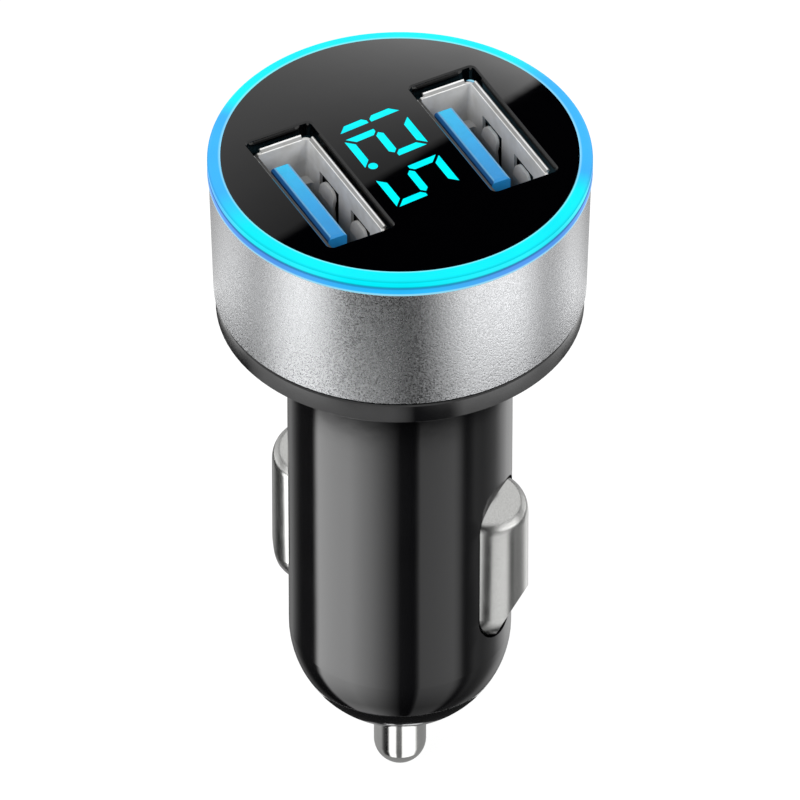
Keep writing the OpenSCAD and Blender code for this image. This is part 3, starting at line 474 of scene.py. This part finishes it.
def gold_plated_bronze(name, base):
    """Bronze strip, stamped and gold plated, with the wiping marks of plugs along it."""
    material, tree, shader, place = finish(name, Metallic=1.0)
    stretch = node(tree, "Mapping", {"Vector": place, "Scale": (1.0, 1.0, 0.05)})
    wipes = node(tree, "TexNoise", {"Vector": stretch, "Scale": 1 / (0.1 * MM), "Detail": 2.0})
    tone = shades(node(tree, "ValToRGB", {"Fac": wipes}), [(0.3, times(base, 0.8)), (0.65, base)])
    shine = shades(node(tree, "ValToRGB", {"Fac": wipes}), [(0.3, 0.34), (0.7, 0.2)])
    fill(shader, {"Base Color": tone, "Roughness": shine})
    return material


def lacquered_board(name, base, weave, tin="#c3c6c4"):
    """Glass cloth board under lacquer.

    Paler lines where copper lies under the lacquer, the weave of the cloth, and tinned pads.
    """
    material, tree, shader, place = finish(name, IOR=1.5)
    tracks = node(tree, "TexBrick", {"Vector": place, "Scale": 1 / (6 * MM), "Mortar Size": 0.035,
                                     "Brick Width": 0.9, "Row Height": 0.32, "Color1": [0, 0, 0, 1],
                                     "Color2": [0.15, 0.15, 0.15, 1], "Mortar": [1, 1, 1, 1]})
    pads = node(tree, "TexVoronoi", {"Vector": place, "Scale": 1 / (2.6 * MM)}, feature="F1")
    pad = shades(node(tree, "ValToRGB", {"Fac": pads}), [(0.13, 1.0), (0.15, 0.0)])
    pad.color_ramp.interpolation = "CONSTANT"
    green = node(tree, "Mix", {0: tracks, 6: base, 7: times(base, 1.9, 0.01)}, data_type="RGBA")
    both = node(tree, "Mix", {0: pad, 6: green.outputs[2], 7: linear(tin)}, data_type="RGBA")
    cloth = node(tree, "TexChecker", {"Vector": place, "Scale": 1 / weave})
    bump = node(tree, "Bump", {"Strength": 0.15, "Distance": 0.01 * MM,
                               "Height": cloth.outputs["Fac"]})
    shine = node(tree, "MapRange", {"Value": cloth.outputs["Fac"], "To Min": 0.28, "To Max": 0.36})
    fill(shader, {"Base Color": both.outputs[2], "Metallic": pad, "Roughness": shine,
                  "Normal": bump})
    return material


def turned_metal(name, base, feed, roughness):
    """Metal turned on a lathe and plated.

    Fine rings round the axis draw the highlight out along it.
    """
    material, tree, shader, place = finish(name, Metallic=1.0)
    rings = node(tree, "TexWave", {"Vector": place, "Scale": 1 / (feed * 6.3), "Distortion": 1.5,
                                   "Detail": 2.0, "Detail Scale": 2.0}, bands_direction="Z")
    cloud = node(tree, "TexNoise", {"Vector": place, "Scale": 1 / (2.5 * MM), "Detail": 3.0})
    tone = shades(node(tree, "ValToRGB", {"Fac": cloud}), [
        (0.3, times(base, 0.9)), (0.7, times(base, 1.05))])
    shine = shades(node(tree, "ValToRGB", {"Fac": cloud}), [
        (0.3, roughness * 0.8), (0.7, roughness * 1.25)])
    bump = node(tree, "Bump", {"Strength": 0.12, "Distance": 0.006 * MM,
                               "Height": rings.outputs["Fac"]})
    fill(shader, {"Base Color": tone, "Roughness": shine, "Normal": bump})
    return material


def satin_nickel_stamping(name, base, roughness):
    """Brass sheet, drawn to a pill, tumbled and nickel plated.

    Bright but soft reflections, with the fine scatter that tumbling leaves.
    """
    material, tree, shader, place = finish(name, Metallic=1.0)
    scatter = node(tree, "TexNoise", {"Vector": place, "Scale": 1 / (0.14 * MM), "Detail": 2.0})
    cloud = node(tree, "TexNoise", {"Vector": place, "Scale": 1 / (3 * MM), "Detail": 3.0})
    tone = shades(node(tree, "ValToRGB", {"Fac": scatter}), [
        (0.3, times(base, 0.93)), (0.7, times(base, 1.04))])
    shine = shades(node(tree, "ValToRGB", {"Fac": cloud}), [
        (0.3, roughness * 0.85), (0.7, roughness * 1.2)])
    bump = node(tree, "Bump", {"Strength": 0.12, "Distance": 0.006 * MM, "Height": scatter})
    fill(shader, {"Base Color": tone, "Roughness": shine, "Normal": bump})
    return material


def two_part(name, inner, outer, piece, ends):
    """A small bought part of two stuffs that meet at a height.

    A fuse's ceramic tube and its plated caps, or the resin of a chip, where no height is masked.
    """
    material, tree, shader, place = finish(name)
    low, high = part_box(piece)
    height = node(tree, "SeparateXYZ", {"Vector": place}).outputs["Z"]
    side = node(tree, "MapRange", {"Value": height, "From Min": low.z, "From Max": high.z})
    mask = shades(node(tree, "ValToRGB", {"Fac": side}), ends)
    mask.color_ramp.interpolation = "CONSTANT"
    grit = node(tree, "TexNoise", {"Vector": place, "Scale": 1 / (0.2 * MM), "Detail": 2.0})
    plain = shades(node(tree, "ValToRGB", {"Fac": grit}), [(0.3, times(inner, 0.85)), (0.7, inner)])
    tone = node(tree, "Mix", {0: mask, 6: plain, 7: outer}, data_type="RGBA")
    shine = node(tree, "MapRange", {"Value": mask, "To Min": 0.5, "To Max": 0.25})
    bump = node(tree, "Bump", {"Strength": 0.2, "Distance": 0.01 * MM, "Height": grit})
    fill(shader, {"Base Color": tone.outputs[2], "Metallic": mask, "Roughness": shine,
                  "Normal": bump})
    return material


# Springs

def coil_mesh(name, radius, wire, turns, height, per_turn=40, sides=14):
    """Mesh of a compression spring round Z from 0 to height, with closed end turns."""
    dead = wire * 1.2
    rings = turns * per_turn
    points, faces = [], []
    for i in range(rings + 1):
        s = i / per_turn
        if s <= 1:
            z = wire / 2 + dead * s
        elif s >= turns - 1:
            z = height - wire / 2 - dead * (turns - s)
        else:
            z = wire / 2 + dead + (height - wire - 2 * dead) * (s - 1) / (turns - 2)
        turn = 2 * math.pi * s
        for j in range(sides):
            t = 2 * math.pi * j / sides
            out = radius + wire / 2 * math.cos(t)
            # The end turns are ground flat on their seats
            up = min(max(z + wire / 2 * math.sin(t), wire * 0.12), height - wire * 0.12)
            points.append((out * math.cos(turn), out * math.sin(turn), up))
    for i in range(rings):
        for j in range(sides):
            k = (j + 1) % sides
            faces.append((i * sides + j, i * sides + k, (i + 1) * sides + k, (i + 1) * sides + j))
    faces.append(tuple(range(sides - 1, -1, -1)))
    faces.append(tuple(rings * sides + j for j in range(sides)))
    mesh = new_mesh(name, points, faces)
    for polygon in mesh.polygons:
        polygon.use_smooth = len(polygon.vertices) == 4
    return mesh


def drawn_spring_wire(name):
    """Spring steel wire, drawn and bright.

    Faint blue-grey patches from the heat of coiling, where the wire shines less.
    """
    material, tree, shader, place = finish(name, Metallic=1.0)
    bands = node(tree, "TexNoise", {"Vector": place, "Scale": 1 / (1.5 * MM), "Detail": 2.0})
    tone = shades(node(tree, "ValToRGB", {"Fac": bands}), [
        (0.32, linear("#8b8f96")), (0.6, linear("#b4b4b2"))])
    shine = shades(node(tree, "ValToRGB", {"Fac": bands}), [(0.3, 0.34), (0.7, 0.22)])
    fill(shader, {"Base Color": tone, "Roughness": shine})
    return material


# Stage

# Height of the light boards over the floor
LIFT = 0.3 * MM


def card(name, points, faces, glow, one_sided=False):
    """A light board of the stage: seen in gloss and metal, and by nothing else."""
    mesh = new_mesh(name, points, faces)
    mesh.attributes.new("glow", "FLOAT", "POINT").data.foreach_set("value", glow)
    board = add(name, mesh)
    material = bpy.data.materials.new(name)
    tree = empty_tree(material)
    level = node(tree, "Attribute", attribute_name="glow").outputs["Fac"]
    light = node(tree, "Emission", {"Strength": level})
    if one_sided:
        back = node(tree, "NewGeometry").outputs["Backfacing"]
        clear = node(tree, "BsdfTransparent")
        light = node(tree, "MixShader", {0: back, 1: light, 2: clear})
    node(tree, "OutputMaterial", {"Surface": light})
    mesh.materials.append(material)
    for way in ("camera", "diffuse", "shadow", "transmission", "volume_scatter"):
        setattr(board, "visible_" + way, False)


def grid(across, along, closed=False):
    """Faces between rows of points, with as many points along each row; closed joins its ends."""
    faces = []
    for i in range(across - 1):
        for j in range(along if closed else along - 1):
            k = (j + 1) % along
            faces.append((i * along + j, (i + 1) * along + j, (i + 1) * along + k, i * along + k))
    return faces


def seen_ray(tree):
    """1 for rays of the eye, of mirrors and of glass, and 0 for light on dull surfaces."""
    ray = node(tree, "LightPath").outputs
    seen = node(tree, "Math", {0: ray["Is Camera Ray"], 1: ray["Is Glossy Ray"]},
                operation="MAXIMUM")
    return node(tree, "Math", {0: seen, 1: ray["Is Transmission Ray"]}, operation="MAXIMUM")


def between(x, stops):
    """Value at x of a row of (place, value) stops, straight between them."""
    if x <= stops[0][0]:
        return stops[0][1]
    for (x0, v0), (x1, v1) in zip(stops, stops[1:]):
        if x <= x1:
            return v0 + (v1 - v0) * (x - x0) / (x1 - x0)
    return stops[-1][1]


class PLUG_OT_shell(bpy.types.Operator):
    """Finish of the black moulded shell: cup, lip, barrel and nose"""

    bl_idname = "plug.shell"
    bl_label = "Black Shell"

    def execute(self, context):
        colours, grain, _, _ = plug(context)
        dress(gloss_polycarbonate("gloss_black_polycarbonate", colours.shell[:], grain.peel, 0.1),
              "body_shell")
        return {"FINISHED"}


class PLUG_OT_sleeve(bpy.types.Operator):
    """Finish of the silver tube round the head"""

    bl_idname = "plug.sleeve"
    bl_label = "Metal Sleeve"

    def execute(self, context):
        colours, grain, _, _ = plug(context)
        dress(blasted_aluminium("bead_blasted_aluminium", colours.sleeve[:], grain.blast),
              "metal_sleeve")
        return {"FINISHED"}


class PLUG_OT_ring(bpy.types.Operator):
    """Glow of the ring round the face"""

    bl_idname = "plug.ring"
    bl_label = "Light Ring"

    def execute(self, context):
        colours, _, _, _ = plug(context)
        dress(lit_polycarbonate_ring("lit_polycarbonate", colours), "light_ring")
        return {"FINISHED"}


class PLUG_OT_face(bpy.types.Operator):
    """Finish of the gloss face and glow of its digits"""

    bl_idname = "plug.face"
    bl_label = "Face And Digits"

    def execute(self, context):
        colours, grain, _, _ = plug(context)
        dress(gloss_polycarbonate("piano_black_polycarbonate", colours.face[:], 3 * grain.peel,
                                  0.014), "face_panel")
        dress(lit_acrylic_bars("lit_acrylic", colours.digits[:]), "light_guide")
        return {"FINISHED"}


class PLUG_OT_ports(bpy.types.Operator):
    """Finishes of both USB ports: shells, tongues and contact strips"""

    bl_idname = "plug.ports"
    bl_label = "USB Ports"

    def execute(self, context):
        colours, grain, _, _ = plug(context)
        blue = tongue_polyester("blue_moulded_polyester", colours)
        gold = gold_plated_bronze("gold_plated_bronze", colours.gold[:])
        for side in ("left", "right"):
            dress(nickel_plated_sheet(f"nickel_plated_steel_{side}", colours.nickel[:],
                                      grain.rolling, 0.42, *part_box(f"usb_shell_{side}")),
                  f"usb_shell_{side}")
            dress(blue, f"usb_tongue_{side}")
            dress(gold, *(f"{side}_strip_{i}" for i in range(1, 5)))
        return {"FINISHED"}


class PLUG_OT_boards(bpy.types.Operator):
    """Finishes of the boards, the headers, the display's block and the lamps"""

    bl_idname = "plug.boards"
    bl_label = "Boards"

    def execute(self, context):
        colours, grain, _, _ = plug(context)
        dress(lacquered_board("green_lacquered_board", colours.board[:], grain.weave),
              "port_board", "driver_board")
        # Black, so that nothing shows in the gaps round the ports
        dress(lacquered_board("black_lacquered_board", colours.black_board[:], grain.weave,
                              "#4a4a47"), "display_board")
        dress(moulded_polymer("black_moulded_polyester", linear("#15151a"), 0.45, 0.8 * MM),
              "board_header_front", "board_header_rear")
        dress(moulded_polymer("white_moulded_abs", linear("#ece9e0"), 0.5, 2 * MM),
              "display_module")
        dress(moulded_polymer("lamp_resin", linear("#f1ecc8"), 0.35, 0.4 * MM),
              *(f"ring_led_{i}" for i in range(1, 5)))
        return {"FINISHED"}


class PLUG_OT_converter(bpy.types.Operator):
    """Finishes of the parts on the driver board"""

    bl_idname = "plug.converter"
    bl_label = "Converter"

    def execute(self, context):
        dress(turned_metal("lacquered_copper_winding", linear("#8a4b2a"), 0.3 * MM, 0.35),
              "inductor")
        dress(moulded_polymer("dark_shrink_sleeve", linear("#23262e"), 0.25, 3 * MM),
              "input_capacitor")
        dress(turned_metal("bare_aluminium_can", linear("#cfcfcb"), 0.2 * MM, 0.3),
              "output_capacitor")
        dress(two_part("chip_resin_and_tin", linear("#1a1a1c"), linear("#c9cac8"),
                       "converter_chip", [(0.0, 0.0), (1.0, 0.0)]), "converter_chip")
        dress(two_part("fuse_ceramic_and_nickel", linear("#e4dfd2"), linear("#c9c8c2"),
                       "fuse", [(0.0, 1.0), (0.21, 0.0), (0.8, 1.0)]), "fuse")
        return {"FINISHED"}


class PLUG_OT_contacts(bpy.types.Operator):
    """Finishes of the tip, the side contacts, their carrier and the spring seat"""

    bl_idname = "plug.contacts"
    bl_label = "Contacts"

    def execute(self, context):
        colours, grain, _, _ = plug(context)
        dress(turned_metal("turned_nickel_plated_brass", colours.contact[:], grain.turning, 0.16),
              "tip_contact")
        dress(satin_nickel_stamping("satin_nickel_plate", colours.contact[:], 0.2),
              "side_contact_front", "side_contact_rear")
        dress(moulded_polymer("natural_nylon", colours.nylon[:], 0.42, 2 * MM), "contact_carrier")
        dress(turned_metal("turned_brass", linear("#c9a24e"), grain.turning, 0.25), "spring_seat")
        return {"FINISHED"}


class PLUG_OT_springs(bpy.types.Operator):
    """Winds the tip spring and both side springs in place of the plain ones"""

    bl_idname = "plug.springs"
    bl_label = "Springs"

    def execute(self, context):
        _, _, springs, _ = plug(context)
        wire = drawn_spring_wire("drawn_spring_steel")
        self.wind(wire, "tip_spring", "tip_slide", springs.tip_radius, springs.tip_wire,
                  springs.tip_turns)
        for side in ("front", "rear"):
            self.wind(wire, f"side_spring_{side}", f"side_{side}_slide", springs.side_radius,
                      springs.side_wire, springs.side_turns)
        return {"FINISHED"}

    def wind(self, wire, plain, joint_name, radius, thickness, turns):
        """Winds one spring between the ends of the plain one, from its fixed end outwards."""
        joint = next(j for j in frame["joints"] if j["name"] == joint_name)
        inward = Vector(joint["axis"])
        shape = NODES[plain]
        spread = [(shape.matrix_world @ v.co).dot(inward) for v in shape.data.vertices]
        low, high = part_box(plain)
        middle = (low + high) / 2
        span = max(spread) - min(spread)
        seat = middle + inward * (max(spread) - middle.dot(inward))
        name = "wound_" + plain
        coil = add(name, coil_mesh(name, radius, thickness, turns, span))
        coil.data.materials.append(wire)
        turned = (-inward).to_track_quat("Z", "Y").to_matrix().to_4x4()
        coil.data.transform(Matrix.Translation(seat) @ turned)
        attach(coil, "housing")
        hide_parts(plain)
        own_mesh(coil)


class PLUG_OT_stage(bpy.types.Operator):
    """Floor, lamps, light boards, world and camera"""

    bl_idname = "plug.stage"
    bl_label = "Stage"

    def execute(self, context):
        _, _, _, stage = plug(context)
        ground = CAD_BOX[0].z
        a, e = stage.azimuth, stage.elevation
        toward = Vector((math.sin(a), -math.cos(a), 0))
        right = Vector((math.cos(a), math.sin(a), 0))
        back = toward * math.cos(e) + Vector((0, 0, math.sin(e)))
        eye = Vector((0, 0, stage.target)) + back * stage.distance
        self.floor(stage, ground)
        self.world(context, stage)
        self.lamps(stage, toward, right)
        self.ground_board(ground, toward, right)
        self.tip_board(ground, toward, right)
        self.foot_board(ground)
        self.face_board(eye, toward, right)
        data = bpy.data.cameras.new("camera")
        data.lens, data.sensor_width = stage.lens, 36
        data.clip_start, data.clip_end = 0.05, 50
        camera = add("camera", data)
        camera.location = eye
        camera.rotation_mode = "QUATERNION"
        camera.rotation_quaternion = (-back).to_track_quat("-Z", "Y")
        context.scene.camera = camera
        context.scene.view_settings.view_transform = "Standard"
        return {"FINISHED"}

    def floor(self, stage, ground):
        """Pale floor that shows white and keeps a faint shadow; from below it isn't seen."""
        # Half its width, the share of its colour that takes shadow, and its own light to the eye
        reach, tone, shown = 4, 0.2, 0.9
        mesh = new_mesh("floor", [(x * reach, y * reach, ground) for x, y in (
            (-1, -1), (1, -1), (1, 1), (-1, 1))], [(0, 1, 2, 3)])
        material = bpy.data.materials.new("pale_floor")
        tree = empty_tree(material)
        shadow = node(tree, "BsdfDiffuse", {"Color": times(stage.floor, tone)})
        level = node(tree, "Math", {0: seen_ray(tree), 1: shown}, operation="MULTIPLY")
        glow = node(tree, "Emission", {"Strength": level})
        both = node(tree, "AddShader", {0: shadow, 1: glow})
        clear = node(tree, "BsdfTransparent")
        below = node(tree, "NewGeometry").outputs["Backfacing"]
        either = node(tree, "MixShader", {0: below, 1: both, 2: clear})
        node(tree, "OutputMaterial", {"Surface": either})
        mesh.materials.append(material)
        floor = add("floor", mesh)

    def world(self, context, stage):
        """White world for the eye and in gloss, and a softer one for dull surfaces."""
        world = bpy.data.worlds.new("studio")
        context.scene.world = world
        tree = empty_tree(world)
        level = node(tree, "MapRange", {"Value": seen_ray(tree), "To Min": stage.world,
                                        "To Max": 1.0})
        sky = node(tree, "Background", {"Strength": level})
        node(tree, "OutputWorld", {"Surface": sky})

    def lamps(self, stage, toward, right):
        """A large soft lamp from the upper left and a weaker one from the upper right."""
        for name, place, size, share in (
                ("main_lamp", toward * 0.35 - right * 0.4 + Vector((0, 0, 0.6)), 0.45, 1.0),
                ("side_lamp", toward * 0.3 + right * 0.5 + Vector((0, 0, 0.45)), 0.35, 0.6)):
            data = bpy.data.lights.new(name, "AREA")
            data.shape, data.size, data.energy = "DISK", size, stage.lamp * share
            lamp = add(name, data)
            lamp.location = place
            lamp.rotation_mode = "QUATERNION"
            lamp.rotation_quaternion = (-place).to_track_quat("-Z", "Y")
            # Gloss and metal mirror the boards and the sky, not the lamps
            lamp.visible_glossy = False

    def ground_board(self, ground, toward, right):
        """Light and dark fields round the plug's foot.

        A point of the barrel's wall, turned by an angle from the camera, mirrors the ground along a
        straight line that is turned twice as far. The rows follow those lines, so the fields show
        as upright bands on the barrel, the lip and the sleeve. Each table holds twice the turn in
        degrees, and the light there.
        """
        barrel_radius = 10.35 * MM
        near = [(-180, 0.1), (-150, 0.4), (-132, 0.1), (-125, 0.03), (-100, 0.03), (-94, 3.0),
                (-53, 3.2), (-30, 2.0), (-12, 0.8), (0, 0.06), (17, 0.02), (21, 0.8), (58, 0.95),
                (64, 0.6), (70, 0.08), (76, 0.08), (84, 0.25), (95, 0.2), (105, 0.25),
                (115, 0.35), (128, 0.8), (142, 1.0), (160, 0.7), (180, 0.3)]
        lip = [(-125, 0.0), (-108, 0.0), (-100, 0.5), (-90, 1.0), (-60, 1.36), (-40, 1.55),
               (-4, 1.6), (4, 0.9), (9, 0.02), (31, 0.02), (39, 1.26), (60, 1.1), (80, 0.94),
               (100, 0.7), (112, 0.5), (120, 0.12), (180, 0.1)]
        far = [(-180, 0.4), (-150, 0.65), (-135, 0.9), (-120, 1.05), (-108, 1.0), (-98, 0.75),
               (-88, 0.7), (-78, 1.2), (-66, 1.75), (-56, 1.75), (-48, 1.4), (-42, 0.9),
               (-36, 0.35), (-30, 0.02), (-20, 0.0), (4, 0.0), (10, 0.12), (16, 0.35),
               (22, 0.65), (28, 1.05), (36, 1.5), (46, 1.8), (60, 1.9), (74, 1.85), (84, 1.25),
               (96, 0.6), (108, 0.8), (122, 1.15), (136, 1.0), (150, 0.6), (180, 0.4)]
        points, glow = [], []
        turns = [i * 1.5 for i in range(-60, 61)]
        for turn in turns:
            psi = math.radians(turn)
            start = (toward * math.cos(psi) + right * math.sin(psi)) * barrel_radius
            way = toward * math.cos(2 * psi) + right * math.sin(2 * psi)
            a, b, c = between(2 * turn, near), between(2 * turn, lip), between(2 * turn, far)
            # Millimetres from the foot outwards, and light: the nose, the barrel, its shaded top,
            # the lip, and the sleeve, whose first rows are lighter towards its sides
            low = 62.8 + 6.4 * math.cos(psi)
            side = 1.6 + 1.6 * math.sin(psi) ** 2
            row = [(0, 0.28 * a), (5, 0.28 * a), (20, a), (35, a), (53.5, a), (57, 0),
                   (low - 0.5, 0), (low + 0.5, b), (low + 3.5, b), (low + 4.3, side * c),
                   (low + 6.3, 1.28 * c), (low + 13, c), (low + 18, 0.8 * c), (120, 0.7 * c),
                   (180, 0.65 * c), (250, 0.65 * c), (330, 0.03), (600, 0.03)]
            for t, level in row:
                p = start + way * t * MM
                points.append((p.x, p.y, ground + LIFT))
                glow.append(level)
        card("ground_board", points, grid(len(turns), len(row)), glow)

    def tip_board(self, ground, toward, right):
        """Narrow light and dark fields close round the tip, standing as a low wall."""
        bands = [(-180, 0.4), (-92, 0.42), (-78, 0.08), (-60, 0.0), (-54, 0.02), (-45, 2.0),
                 (-22, 2.0), (-14, 0.2), (6, 0.2), (13, 2.0), (66, 2.0), (82, 0.35), (180, 0.33)]
        # Radius of the tip and of the wall, and where the low step before the wall begins
        radius, reach, step = 2.43 * MM, 4 * MM, 0.4
        points, glow = [], []
        for turn in range(-90, 91):
            psi = math.radians(turn)
            start = (toward * math.cos(psi) + right * math.sin(psi)) * radius
            way = toward * math.cos(2 * psi) + right * math.sin(2 * psi)
            along = start.dot(way)
            wall = math.sqrt(along ** 2 + reach ** 2 - radius ** 2) - along
            for far, up in ((step * wall, 0.34), (wall, 0.4), (wall, 5.6)):
                p = start + way * far
                points.append((p.x, p.y, ground + up * MM))
            glow += [between(2 * turn, bands)] * 3
        faces = [(i, i + 1, i + 4, i + 3) for j in range(0, 540, 3) for i in (j, j + 1)]
        card("tip_board", points, faces, glow, one_sided=True)

    def foot_board(self, ground):
        """Painted shadow under the nose: a dark board, with a lighter disc under the tip."""
        discs = ((0.1, 0.35), (4.0, 0.35), (4.2, 0.03), (10.3, 0.03))
        turns = [2 * math.pi * i / 48 for i in range(48)]
        points = [(r * MM * math.cos(t), r * MM * math.sin(t), ground + LIFT)
                  for r, _ in discs for t in turns]
        glow = [level for _, level in discs for _ in turns]
        card("foot_board", points, grid(len(discs), len(turns), closed=True), glow)

    def face_board(self, eye, toward, right):
        """Board that the face mirrors: light at the upper left, black at the lower right."""
        # Distance from the face to the board in metres, and the most light
        reach, most = 0.22, 2.4
        top = Vector((0, 0, CAD_BOX[1].z))
        look = (top - eye).normalized()
        away = Vector((look.x, look.y, -look.z))
        up = toward * away.z + Vector((0, 0, math.sqrt(1 - away.z ** 2)))
        middle = top + away * reach
        # How much wider the view is at the board than at the face
        spread = 1 + reach / (top - eye).length
        # In millimetres on the face, u runs to the right and v down, and the rows follow the
        # slanting edge of the black field
        rows = [-44 + i for i in range(44)] + [-0.45, 0.45] + [1 + 2 * i for i in range(22)]
        columns = range(-30, 31)
        points, glow = [], []
        for u in columns:
            for beyond in rows:
                v = beyond + 1.05 - 0.61 * u
                points.append(tuple(middle + (right * u + up * v) * spread * MM))
                light = math.exp(-0.93 - 0.165 * v - (0.035 + 0.0066 * v) * u
                                 + 0.08 * max(0, u - 6.5))
                glow.append(min(light, most) if beyond < 0 else 0.0)
        card("face_board", points, grid(len(columns), len(rows)), glow)


class PLUG_PT_looks(bpy.types.Panel):
    """Lists the pieces of the plug and its stage"""

    bl_label = "Car Charger Plug"
    bl_idname = "PLUG_PT_looks"
    bl_space_type = "VIEW_3D"
    bl_region_type = "UI"
    bl_category = "Plug"

    def draw(self, context):
        layout = self.layout
        for operator in OPERATORS:
            layout.operator(operator.bl_idname)
        for title, group in zip(("Colours", "Grain", "Springs", "Stage"), plug(context)):
            box = layout.box()
            box.label(text=title)
            for name in group.__annotations__:
                box.prop(group, name)


OPERATORS = (PLUG_OT_shell, PLUG_OT_sleeve, PLUG_OT_ring, PLUG_OT_face, PLUG_OT_ports,
             PLUG_OT_boards, PLUG_OT_converter, PLUG_OT_contacts, PLUG_OT_springs, PLUG_OT_stage)
GROUPS = {"plug_colours": PlugColours, "plug_grain": PlugGrain, "plug_springs": PlugSprings,
          "plug_stage": PlugStage}


def register():
    """Registers the add-on's groups, operators and panel."""
    for name, group in GROUPS.items():
        bpy.utils.register_class(group)
        setattr(bpy.types.Scene, name, PointerProperty(type=group))
    for operator in OPERATORS:
        bpy.utils.register_class(operator)
    bpy.utils.register_class(PLUG_PT_looks)


def unregister():
    """Takes them out again."""
    bpy.utils.unregister_class(PLUG_PT_looks)
    for operator in reversed(OPERATORS):
        bpy.utils.unregister_class(operator)
    for name, group in GROUPS.items():
        delattr(bpy.types.Scene, name)
        bpy.utils.unregister_class(group)


def main():
    register()
    for operator in OPERATORS:
        family, name = operator.bl_idname.split(".")
        getattr(getattr(bpy.ops, family), name)()


if __name__ == "__main__":
    main()
